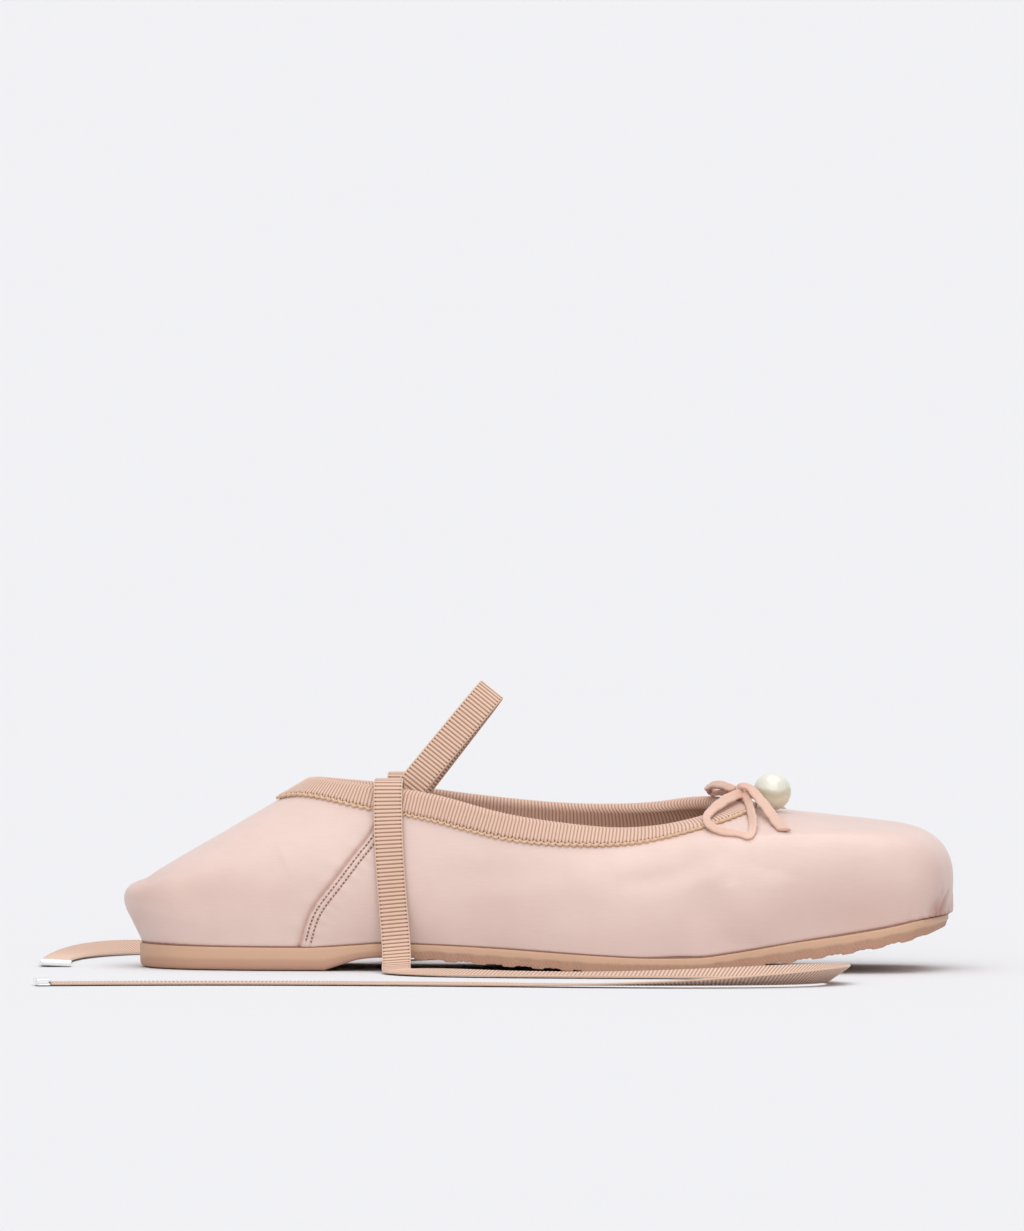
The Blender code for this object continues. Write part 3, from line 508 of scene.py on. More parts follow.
def grid_piece(
    name, points, u, v, finishes, closed_u=False, closed_v=False, caps=False, pick=None, smooth=True, weld=False, shade=None
):
    """A mesh from a grid of points. u and v have one more entry than the grid where it closes on itself."""
    points = np.asarray(points, float)
    n, m = points.shape[:2]
    nu, nv = (n if closed_u else n - 1), (m if closed_v else m - 1)
    i, j = np.repeat(np.arange(nu), nv), np.tile(np.arange(nv), nu)
    i2, j2 = (i + 1) % n, (j + 1) % m
    quads = np.stack([i * m + j, i2 * m + j, i2 * m + j2, i * m + j2], axis=1)
    u, v = np.asarray(u, float), np.asarray(v, float)
    if u.ndim == 2:  # a value for every point, and one row and column more
        around = [u[i, j], u[i + 1, j], u[i + 1, j + 1], u[i, j + 1]]
    else:
        around = [u[i], u[i + 1], u[i + 1], u[i]]
    uv = np.stack([np.stack(around, 1), np.stack([v[j], v[j], v[j + 1], v[j + 1]], 1)], axis=2).reshape(-1, 2)
    faces = quads.tolist()
    picks = None if pick is None else list(np.asarray(pick)[j])
    if caps:
        for row, at in ((list(range(m))[::-1], 0), ([(n - 1) * m + k for k in range(m)], n - 1)):
            faces.append(row)
            order = range(m)[::-1] if at == 0 else range(m)
            uv = np.concatenate([uv, [(u[at], v[k]) for k in order]])
            if picks is not None:
                picks.append(picks[0])
    return put_together(name, points.reshape(-1, 3), faces, uv, finishes, picks, smooth, weld, shade)


# ------------------------------------------------------------------ materials
class Nodes:
    """A material whose shader is Principled; its other nodes are made by short calls."""

    def __init__(self, name, **sockets):
        self.material = bpy.data.materials.new(name)
        self.material.use_nodes = True
        self.tree = self.material.node_tree
        self.shader = self.tree.nodes["Principled BSDF"]
        for key, value in sockets.items():
            self.set(self.shader.inputs[key.replace("_", " ")], value)

    @staticmethod
    def set(socket, value):
        if hasattr(value, "__len__") and len(value) == 3 and socket.type == "RGBA":
            value = (*value, 1.0)
        socket.default_value = value

    def node(self, kind, outputs=0, props=None, **inputs):
        made = self.tree.nodes.new(kind)
        for key, value in (props or {}).items():
            setattr(made, key, value)
        for key, value in inputs.items():
            key = key.replace("_", " ")
            socket = made.inputs[int(key[1:])] if key[0] == "i" and key[1:].isdigit() else made.inputs[key]
            if isinstance(value, bpy.types.NodeSocket):
                self.tree.links.new(value, socket)
            else:
                self.set(socket, value)
        return made.outputs[outputs]

    def math(self, operation, a, b=0.0, c=0.0):
        return self.node("ShaderNodeMath", props={"operation": operation}, i0=a, i1=b, i2=c)

    def mix(self, share, a, b):
        made = self.tree.nodes.new("ShaderNodeMix")
        made.data_type = "RGBA"
        for socket, value in ((made.inputs[0], share), (made.inputs[6], a), (made.inputs[7], b)):
            if isinstance(value, bpy.types.NodeSocket):
                self.tree.links.new(value, socket)
            else:
                self.set(socket, value)
        return made.outputs[2]

    def ramp(self, value, low, high):
        return self.node(
            "ShaderNodeMapRange", props={"interpolation_type": "SMOOTHSTEP"}, Value=value, From_Min=low, From_Max=high
        )

    def noise(self, vector, scale, detail=2.0, rough=0.5):
        return self.node("ShaderNodeTexNoise", Vector=vector, Scale=scale, Detail=detail, Roughness=rough)

    def stretched(self, vector, x, y, z):
        return self.node("ShaderNodeMapping", Vector=vector, Scale=(x, y, z))

    def place(self):
        """The point itself, in the shoe's own frame."""
        return self.node("ShaderNodeTexCoord", outputs=3)

    def uv(self):
        at = self.node("ShaderNodeUVMap", props={"uv_map": "UVMap"})
        parts = self.tree.nodes.new("ShaderNodeSeparateXYZ")
        self.tree.links.new(at, parts.inputs[0])
        return at, parts.outputs[0], parts.outputs[1]

    def bump(self, height, strength, distance, after=None):
        made = self.tree.nodes.new("ShaderNodeBump")
        made.inputs["Strength"].default_value = strength
        made.inputs["Distance"].default_value = distance
        self.tree.links.new(height, made.inputs["Height"])
        if after is not None:
            self.tree.links.new(after, made.inputs["Normal"])
        return made.outputs[0]

    def to(self, socket, value):
        self.tree.links.new(value, self.shader.inputs[socket])


def satin_finish(name, light, dark, rough=0.40, sheen=0.25, painted_shade_colour=None):
    """Satin: a very fine weave, slight cloudiness, and a broad soft shine. The last colour is painted shade, mixed in
    by the shade attribute in grooves, fold bottoms and darker patches.
    """
    m = Nodes(
        name,
        Roughness=rough,
        Sheen_Weight=sheen,
        Sheen_Roughness=0.35,
        Sheen_Tint=(1.0, 0.90, 0.86),
        Specular_IOR_Level=0.75,
        Anisotropic=0.35,
    )
    at = m.place()
    cloud = m.noise(at, 28.0, 3.0, 0.55)
    slub = m.noise(m.stretched(at, 240.0, 240.0, 2600.0), 1.0, 2.0, 0.6)
    share = m.math("MULTIPLY_ADD", slub, 0.35, m.math("MULTIPLY", cloud, 0.65))
    colour = m.mix(m.ramp(share, 0.30, 0.70), dark, light)
    if painted_shade_colour is not None:
        # Painted shade: the shade attribute darkens the satin towards a deep rose brown.
        depth = m.node("ShaderNodeAttribute", outputs=2, props={"attribute_name": "shade"})
        colour = m.mix(depth, colour, painted_shade_colour)
    m.to("Base Color", colour)
    weave = m.noise(m.stretched(at, 900.0, 900.0, 5200.0), 1.0, 1.0, 0.5)
    dents = m.noise(at, 95.0, 2.0, 0.5)
    m.to("Normal", m.bump(dents, 0.10, 0.0006, m.bump(weave, 0.10, 0.00008)))
    return m.material


def grosgrain_finish(name, top, groove_shade, edge, wide, selvedge):
    """Grosgrain: U counts ribs and V is millimetres from one edge. Painted shade darkens the grooves, and the edges are
    smooth.
    """
    m = Nodes(name, Roughness=0.72, Sheen_Weight=0.35, Sheen_Roughness=0.5, Sheen_Tint=(1.0, 0.9, 0.84))
    at, u, v = m.uv()
    wave = m.math("COSINE", m.math("MULTIPLY", u, 2 * math.pi))
    rib = m.ramp(wave, -0.92, 0.35)
    thread = m.noise(m.stretched(at, 18.0, 7.0, 1.0), 1.0, 2.0, 0.6)
    # Painted shade: the grooves take the darker colour, the rib tops the lighter.
    colour = m.mix(rib, groove_shade, top)
    shade = m.node("ShaderNodeMapRange", Value=thread, From_Min=0.3, From_Max=0.7, To_Min=0.0, To_Max=0.22)
    colour = m.mix(shade, colour, groove_shade)
    # smooth woven edge, and painted shade for a stitch hole below each trough between two ribs
    from_edge = m.math("MINIMUM", v, m.math("SUBTRACT", wide, v))
    near_edge = m.math("SUBTRACT", 1.0, m.ramp(from_edge, selvedge - 0.15, selvedge + 0.1))
    colour = m.mix(near_edge, colour, edge)
    down = m.math("SUBTRACT", from_edge, selvedge + 0.16)
    beside = m.math("SUBTRACT", m.math("FRACT", u), 0.5)
    far = m.math(
        "ADD", m.math("POWER", m.math("MULTIPLY", down, 3.2), 2.0), m.math("POWER", m.math("MULTIPLY", beside, 4.2), 2.0)
    )
    hole = m.math("SUBTRACT", 1.0, m.ramp(far, 0.45, 1.15))
    colour = m.mix(m.math("MULTIPLY", hole, 0.80), colour, tuple(0.35 * c for c in groove_shade))
    m.to("Base Color", colour)
    fine = m.noise(m.stretched(at, 30.0, 9.0, 1.0), 1.0, 2.0, 0.6)
    m.to("Normal", m.bump(fine, 0.35, 0.00012))
    return m.material


def rubber_finish(name, light, dark):
    m = Nodes(name, Roughness=0.55, Specular_IOR_Level=0.4)
    at = m.place()
    cloud = m.noise(at, 40.0, 3.0, 0.55)
    _, _, v = m.uv()
    # Darker towards the bottom of the wall and on the tread.
    low = m.math("SUBTRACT", 1.0, m.ramp(v, 0.30, 0.62))
    share = m.math("MULTIPLY_ADD", cloud, 0.5, m.math("MULTIPLY", low, 0.75))
    m.to("Base Color", m.mix(m.ramp(share, 0.15, 1.05), light, dark))
    grain = m.noise(at, 2600.0, 2.0, 0.6)
    rough = m.node("ShaderNodeMapRange", Value=cloud, From_Min=0.3, From_Max=0.7, To_Min=0.48, To_Max=0.62)
    m.to("Roughness", rough)
    m.to("Normal", m.bump(grain, 0.16, 0.0001))
    return m.material


def leather_finish(name, light, dark, rough=0.55):
    m = Nodes(name, Roughness=rough, Specular_IOR_Level=0.35)
    at = m.place()
    cloud = m.noise(at, 34.0, 4.0, 0.6)
    pores = m.node(
        "ShaderNodeTexVoronoi", props={"feature": "DISTANCE_TO_EDGE"}, Vector=at, Scale=1500.0
    )
    m.to("Base Color", m.mix(m.ramp(cloud, 0.3, 0.7), dark, light))
    m.to("Normal", m.bump(m.ramp(pores, 0.0, 0.12), 0.22, 0.00010))
    return m.material


def metal_finish(name):
    m = Nodes(name, Base_Color=(0.90, 0.89, 0.88), Metallic=1.0)
    at = m.place()
    rub = m.noise(m.stretched(at, 300.0, 4200.0, 300.0), 1.0, 3.0, 0.6)
    m.to("Roughness", m.node("ShaderNodeMapRange", Value=rub, From_Min=0.3, From_Max=0.7, To_Min=0.14, To_Max=0.26))
    m.to("Normal", m.bump(rub, 0.05, 0.00004))
    return m.material


PEARL_MIDDLE = 54.3  # height of the pearl's middle


def pearl_finish(name):
    m = Nodes(
        name,
        Roughness=0.24,
        Specular_IOR_Level=0.65,
        Coat_Weight=0.9,
        Coat_Roughness=0.06,
        Coat_IOR=1.52,
        Sheen_Weight=0.25,
        Sheen_Roughness=0.3,
        Sheen_Tint=(0.98, 1.0, 0.92),
    )
    at = m.place()
    swirl = m.noise(m.stretched(at, 1.0, 1.0, 1.6), 130.0, 3.0, 0.5)
    # Painted reflection and shade in soft bands: cream above, olive gold round the middle for the reflected horizon, a
    # darker pale green gold below.
    parts = m.tree.nodes.new("ShaderNodeSeparateXYZ")
    m.tree.links.new(at, parts.inputs[0])
    wavy = m.math("MULTIPLY_ADD", m.math("SUBTRACT", swirl, 0.5), 0.0045, parts.outputs[2])
    middle = PEARL_MIDDLE * MM
    lower = m.mix(m.ramp(wavy, middle - 0.0022, middle - 0.0009), (0.69, 0.65, 0.49), (0.56, 0.51, 0.36))
    m.to("Base Color", m.mix(m.ramp(wavy, middle - 0.0006, middle + 0.0010), lower, (0.71, 0.695, 0.59)))
    m.to("Normal", m.bump(swirl, 0.03, 0.0003))
    return m.material


def plain_thread(name, light, dark):
    m = Nodes(name, Roughness=0.6)
    at = m.place()
    twist = m.noise(at, 1800.0, 2.0, 0.6)
    m.to("Base Color", m.mix(m.ramp(twist, 0.35, 0.65), dark, light))
    m.to("Normal", m.bump(twist, 0.3, 0.0001))
    return m.material


# Blush satin; its last colour is painted shade, mixed in by the shade attribute.
SATIN = satin_finish(
    "blush_satin", (0.728, 0.548, 0.488), (0.678, 0.498, 0.436), rough=0.40, sheen=0.20, painted_shade_colour=(0.34, 0.135, 0.085)
)
CORD = satin_finish("satin_cord", (0.720, 0.470, 0.370), (0.640, 0.395, 0.300), rough=0.42, sheen=0.3)
# Grosgrain colours: rib tops, painted shade in the grooves, and the woven edge.
BINDING_CLOTH = grosgrain_finish("grosgrain_binding", (0.725, 0.505, 0.40), (0.42, 0.235, 0.16), (0.69, 0.46, 0.29), 1e3, 0.86)
RIBBON_CLOTH = grosgrain_finish(
    "grosgrain_ribbon", (0.76, 0.53, 0.40), (0.33, 0.175, 0.115), (0.64, 0.43, 0.31), RIBBON_WIDE, 0.42
)
RUBBER = rubber_finish("tan_rubber", (0.585, 0.365, 0.242), (0.480, 0.272, 0.184))
LINING = leather_finish("nude_lining", (0.56, 0.36, 0.26), (0.50, 0.31, 0.22), 0.7)
SOCK = leather_finish("nude_sock", (0.70, 0.50, 0.40), (0.64, 0.44, 0.34), 0.5)
METAL = metal_finish("polished_metal")
NACRE = pearl_finish("pearl_nacre")
# Painted shade: dark capsules standing for the shade inside the seam's needle holes.
HOLE_SHADE = plain_thread("stitch_hole_shade", (0.30, 0.165, 0.125), (0.22, 0.115, 0.085))
THREAD = plain_thread("satin_thread", (0.76, 0.54, 0.46), (0.66, 0.45, 0.37))
# Painted shade: a dark strip standing for the shadow in the gap between satin and rubber.
SHADOW_LINE = plain_thread("feather_gap_shade", (0.30, 0.15, 0.10), (0.22, 0.11, 0.075))


# ------------------------------------------------------------------ camera
PIXEL = 0.305  # millimetres at the shoe for one pixel of a frame 1024 x 1231
AWAY = 9000.0


def make_camera():
    turn, rise = math.radians(5.0), math.radians(2.0)
    right = Vector((math.cos(turn), math.sin(turn), 0.0))
    back = Vector((math.sin(turn) * math.cos(rise), -math.cos(turn) * math.cos(rise), math.sin(rise)))
    up = back.cross(right)
    aim = right * ((512 - 539.75) * PIXEL) + up * ((971 - 615.5) * PIXEL - 1.2)
    data = bpy.data.cameras.new("camera")
    data.sensor_width = 36.0
    data.lens = 36.0 * AWAY / (1231 * PIXEL)
    data.clip_start, data.clip_end = 0.5, 400.0
    camera = bpy.data.objects.new("camera", data)
    camera.location = (aim + back * AWAY) * MM
    camera.rotation_mode = "QUATERNION"
    camera.rotation_quaternion = (-back).to_track_quat("-Z", "Y")
    bpy.context.scene.collection.objects.link(camera)
    bpy.context.scene.camera = camera


# ------------------------------------------------------------------ ribbons
RIB = 1.22  # pitch of the grosgrain's ribs


def ribbed(path, wide, width, thick, phase, deep):
    """Closed sections of a ribbed ribbon along a path. phase counts ribs; deep is the depth of the grooves."""
    wide = unit(wide - unit(np.gradient(path, axis=0)) * np.sum(wide * unit(np.gradient(path, axis=0)), 1)[:, None])
    up = np.cross(unit(np.gradient(path, axis=0)), wide)
    share = np.array([-1.0, -0.985, -0.94, -0.86, -0.74, -0.4, 0.0, 0.4, 0.74, 0.86, 0.94, 0.985, 1.0])
    rib = (0.5 + 0.5 * np.cos(2 * math.pi * phase)) ** 0.6
    body = 1 - np.abs(share) ** 14
    inside = ease(1.0, 0.80, np.abs(share))
    half = thick / 2 * (0.45 + 0.55 * body)
    height = half[None, :] - deep * (1 - rib[:, None]) * inside[None, :]
    height[:, (0, -1)] = 0.06
    across = width / 2 * share[None, :] * (1 + 0.010 * (rib[:, None] - 0.5))
    face = path[:, None] + wide[:, None] * across[..., None] + up[:, None] * height[..., None]
    under = path[:, None] + wide[:, None] * across[..., None] - up[:, None] * height[..., None]
    rings = np.concatenate([face, under[:, ::-1][:, 1:-1]], axis=1)
    v = np.concatenate([width / 2 * (1 + share), (width / 2 * (1 + share))[::-1][1:-1], [0.0]])
    return rings, v


def rib_path(points, per_rib):
    """A smooth path through points with per_rib stations in each rib, and the rib count at each station."""
    fine = through(points, RIB / per_rib)
    step = np.linalg.norm(np.diff(fine[:, :3], axis=0), axis=1)
    return fine, np.concatenate([[0], np.cumsum(step)]) / RIB


def tie_path(rows, per_rib):
    """The construction's own route, with stations counted in ribs: where it lies rolled, its lower edge is down."""
    path, phase = rib_path([(r.x, r.y, r.rise, r.turn) for r in rows], per_rib)
    half = RIBBON_WIDE / 2
    low = np.maximum(path[:, 2], 0.0) + RIBBON_THICK / 2 + 0.1
    middle = path[:, :3].copy()
    middle[:, 2] = low + half * np.abs(np.sin(np.radians(path[:, 3])))
    run = unit(np.gradient(middle, axis=0))
    across = np.array([1.0, 0.0, 0.0])
    wide = []
    for here in run:
        across = across - here * across.dot(here)
        across /= np.linalg.norm(across)
        wide.append(across)
    wide = np.array(wide)
    roll = np.radians(path[:, 3])[:, None]
    wide = wide * np.cos(roll) + np.cross(run, wide) * np.sin(roll)
    middle[:, 2] = low + half * np.abs(wide[:, 2])
    return middle, unit(np.gradient(middle, axis=0)), wide, phase


def make_tie(name, rows, per_rib=5):
    path, run, wide, phase = tie_path(rows, per_rib)
    rings, v = ribbed(path, wide, RIBBON_WIDE, RIBBON_THICK, phase, 0.15)
    # On the floor the lower edge just touches it: a soft lift where a rolled edge would dip in.
    lowest = rings[..., 2].min(axis=1)
    lift = np.maximum(0.06 - lowest, 0.0)
    kernel = np.hanning(81)
    lift = np.convolve(np.pad(lift, 40, mode="edge"), kernel / kernel.sum(), "valid")
    lift = np.maximum(lift, np.maximum(0.06 - lowest, 0.0))
    rings[..., 2] += lift[:, None]
    path = path + np.stack([np.zeros_like(lift), np.zeros_like(lift), lift], axis=1)
    obj = grid_piece(name, rings, phase, v, [RIBBON_CLOTH], closed_v=True, caps=True)
    return obj, path, run, wide


def make_tip(name, path, run, wide):
    """A crimped metal end: one strip folded round the ribbon's end, with rounded corners and a rolled mouth."""
    along = unit(run[-1])
    side = unit(wide[-1] - along * np.dot(wide[-1], along))
    up = np.cross(along, side)
    if up[2] < 0:
        up, side = -up, -side
    middle = path[-1] + along * (GAP + TIP_LONG / 2)
    middle = middle + np.array([0.0, 0.0, max(0.0, TIP_THICK / 2 + 0.05 - middle[2])])
    half_long, half_high, wall = TIP_LONG / 2, TIP_THICK / 2, 0.42
    outer = [(-half_long, 0.86 * half_high), (-half_long + 0.5, half_high), (half_long - 0.7, half_high)]
    outer += [
        (half_long - 0.7 + 0.7 * math.sin(a), half_high - 0.7 + 0.7 * math.cos(a)) for a in np.radians((22, 45, 67, 90))
    ]
    inner = [
        (-half_long, 0.86 * half_high - wall),
        (-half_long + 0.5, half_high - wall),
        (half_long - 0.9, half_high - wall),
        (half_long - 0.55, half_high - wall - 0.2),
    ]
    profile = outer + [(x, -z) for x, z in outer[::-1]] + [(x, -z) for x, z in inner] + inner[::-1]
    profile = np.array(profile)
    shares = np.array([-1.0, -0.97, -0.9, -0.5, 0.0, 0.5, 0.9, 0.97, 1.0])
    rings = []
    for share in shares:
        pinch = 0.90 if abs(share) > 0.99 else (0.975 if abs(share) > 0.96 else 1.0)
        place = middle + side * share * TIP_WIDE / 2
        rings.append([place + along * x * (0.5 + 0.5 * pinch) + up * z * pinch for x, z in profile])
    count = len(profile)
    obj = grid_piece(
        name, rings, shares * TIP_WIDE / 2, np.arange(count + 1) / count, [METAL], closed_v=True, caps=True
    )
    soft = obj.modifiers.new("Edges", "BEVEL")
    soft.width, soft.segments, soft.limit_method, soft.angle_limit = 0.10 * MM, 2, "ANGLE", math.radians(40)
    return obj


def make_strap():
    lean = math.radians(STRAP_LEAN)
    along = np.array([math.cos(lean), 0.0, math.sin(lean)])
    wide = np.array([math.sin(lean), 0.0, -math.cos(lean)])
    root = np.array([STRAP_ROOT[0], 0.0, STRAP_ROOT[1]])
    path, phase = rib_path([root + along * p.along + np.array([0.0, p.across, 0.0]) for p in ARCH], 6)
    rings, v = ribbed(path, np.repeat(wide[None], len(path), 0), RIBBON_WIDE, STRAP_THICK, phase, 0.17)
    return grid_piece("instep_strap_ribbon", rings, phase, v, [RIBBON_CLOTH], closed_v=True, caps=True)


# ------------------------------------------------------------------ the satin upper
# Seams, creases and soft folds, placed on the skin. x runs along the shoe, z is height, side is -1 lateral
# and +1 medial; deep is millimetres into the shoe, or outwards where it is negative; wide is half the trough.
Crease = namedtuple("Crease", "name side points deep wide fade")
CREASES = [
    Crease("toe_corner_fold", -1, ((125.8, 24.6), (125.0, 21.8), (123.8, 18.9), (122.4, 16.4)), 0.62, 1.3, 0.5),
    Crease("toe_corner_hollow", -1, ((124.6, 24.5), (122.8, 20.5), (120.8, 16.6)), 0.80, 2.0, 0.5),
    Crease("toe_corner_ridge", -1, ((127.2, 24.0), (126.4, 20.5), (125.0, 17.0)), -0.55, 1.1, 0.5),
    Crease("toe_corner_gather", -1, ((124.6, 18.6), (123.9, 16.2)), 0.30, 0.5, 0.5),
    Crease("toe_top_pleat", -1, ((108.0, 43.0), (113.0, 36.0), (115.5, 29.0)), 0.35, 3.4, 0.5),
    Crease("toe_corner_fold", 1, ((125.6, 26.0), (124.6, 22.5), (123.2, 19.0), (121.8, 16.3)), 0.70, 1.4, 0.5),
    Crease("toe_corner_ridge", 1, ((127.0, 24.0), (126.2, 20.5), (124.8, 17.0)), -0.45, 1.2, 0.5),
    Crease("toe_corner_gather", 1, ((124.8, 19.4), (124.0, 16.2)), 0.30, 0.5, 0.5),
    Crease("toe_corner_pleat", 1, ((117.0, 20.0), (116.4, 14.4)), 0.35, 1.1, 0.6),
    Crease("ball_break", -1, ((58.0, 27.0), (52.0, 19.0), (48.0, 11.0), (45.0, 6.5)), 1.00, 6.5, 0.45),
    Crease("ball_swell", -1, ((73.0, 31.0), (71.0, 21.0), (69.0, 10.0)), -0.80, 9.0, 0.5),
    Crease("bow_fold", -1, ((68.0, 42.0), (64.5, 34.0), (62.0, 27.0)), 0.55, 2.6, 0.5),
    Crease("bow_fold_side", -1, ((77.0, 42.0), (75.0, 34.0), (74.0, 28.0)), 0.35, 3.4, 0.5),
    Crease("throat_trough", -1, ((59.0, 38.0), (50.0, 32.5), (39.0, 29.0), (24.0, 27.0)), 0.55, 3.4, 0.5),
    Crease("vamp_swell", -1, ((61.0, 34.5), (57.0, 30.5), (54.5, 26.0)), -0.45, 3.2, 0.5),
    Crease("throat_swell", -1, ((46.0, 36.0), (36.0, 33.0), (22.0, 32.0)), -0.45, 5.0, 0.5),
    Crease("waist_fold", -1, ((12.0, 31.0), (-8.0, 29.0), (-30.0, 28.0)), 0.45, 5.0, 0.5),
    Crease("waist_long_dent", -1, ((34.0, 21.0), (6.0, 18.0), (-26.0, 17.0)), 0.40, 6.0, 0.5),
    Crease("heel_dent", -1, ((-76.0, 34.0), (-92.0, 27.0), (-110.0, 21.0)), 0.65, 5.5, 0.5),
    Crease("heel_swell", -1, ((-80.0, 18.0), (-98.0, 14.0), (-110.0, 13.0)), -0.40, 5.0, 0.5),
    Crease("heel_corner", -1, ((-113.0, 28.0), (-108.0, 20.0), (-106.0, 13.0)), -0.30, 4.0, 0.5),
    Crease("ball_break", 1, ((58.0, 28.0), (52.0, 20.0), (48.0, 11.0)), 0.90, 6.5, 0.5),
    Crease("ball_swell", 1, ((74.0, 30.0), (72.0, 20.0), (70.0, 10.0)), -0.60, 8.0, 0.5),
    Crease("waist_fold", 1, ((6.0, 34.0), (-12.0, 30.0), (-26.0, 24.0)), 0.50, 5.0, 0.5),
    Crease("heel_dent", 1, ((-76.0, 36.0), (-92.0, 28.0), (-108.0, 21.0)), 0.55, 5.5, 0.5),
    Crease("nose_dent_top", 1, ((92.0, 40.0), (96.0, 32.0), (98.0, 26.0)), 0.30, 5.0, 0.5),
]
# Soft patches where the satin takes less light: middle of the patch on the skin, its half sizes, and its strength.
Patch = namedtuple("Patch", "name side x z long high depth")
PATCHES = [
    Patch("toe_low", -1, 104.0, 19.0, 26.0, 10.0, 0.23),
    Patch("toe_corner", -1, 123.6, 18.6, 2.0, 3.4, 0.46),
    Patch("toe_corner", 1, 123.2, 18.4, 2.0, 3.4, 0.30),
    Patch("ball_low", -1, 78.0, 12.0, 24.0, 8.0, 0.07),
    Patch("heel_middle", -1, -98.0, 24.0, 24.0, 6.5, 0.20),
    Patch("heel_back", -1, -121.0, 24.0, 6.0, 9.0, 0.10),
    Patch("heel_back", 1, -121.0, 24.0, 6.0, 9.0, 0.10),
    Patch("under_bow", -1, 50.0, 36.5, 7.0, 4.0, 0.09),
    Patch("toe_low", 1, 104.0, 19.0, 26.0, 10.0, 0.20),
    Patch("heel_middle", 1, -98.0, 24.0, 24.0, 6.5, 0.18),
    Patch("toe_face", -1, 127.0, 26.0, 5.0, 12.0, 0.20),
    Patch("toe_face", 1, 127.0, 26.0, 5.0, 12.0, 0.20),
]
SEAM = ((-45.0, 48.5), (-48.8, 42.0), (-53.8, 35.1), (-60.9, 26.2), (-66.8, 17.7), (-69.6, 10.5), (-70.4, 6.6))
STITCH_ROWS = (1.0, 2.6)
STITCH = 1.25


def skin_stations():
    """Ribs of the fine skin, closer together where the side seams run and round the toe corners."""
    each = {2: 22, 3: 42, 4: 48, 5: 26, 10: 22, 11: 24, 12: 18}
    last = len(SECTIONS) - 1
    stops = []
    for i in range(2 * last):
        row = i if i < last else 2 * last - 1 - i
        stops.append(np.linspace(LENGTHS[i], LENGTHS[i + 1], each.get(row, 14), endpoint=False))
    return np.concatenate(stops)


def on_side(points, grid, side):
    """Points of the skin on one side whose x and z are nearest to these."""
    flat = grid.reshape(-1, 3)
    flat = flat[np.sign(flat[:, 1]) == side]
    return np.array([flat[np.argmin((flat[:, 0] - x) ** 2 + (flat[:, 2] - z) ** 2)] for x, z in points])


def nearest_on_line(flat, line):
    """Distance of each point to a polyline, its share of the way along it, and the nearest stretch."""
    start, step = line[:-1], np.diff(line, axis=0)
    length2 = (step**2).sum(1)
    best = np.full(len(flat), 1e18)
    share, which = np.zeros(len(flat)), np.zeros(len(flat), int)
    for k in range(len(start)):
        t = np.clip(((flat - start[k]) @ step[k]) / length2[k], 0, 1)
        d = ((flat - start[k] - t[:, None] * step[k]) ** 2).sum(1)
        near = d < best
        best[near], which[near] = d[near], k
        share[near] = (k + t[near]) / len(start)
    return np.sqrt(best), share, which


def seam_line(grid, side):
    line = on_side(SEAM, grid, side)
    return through(line, 1.0)


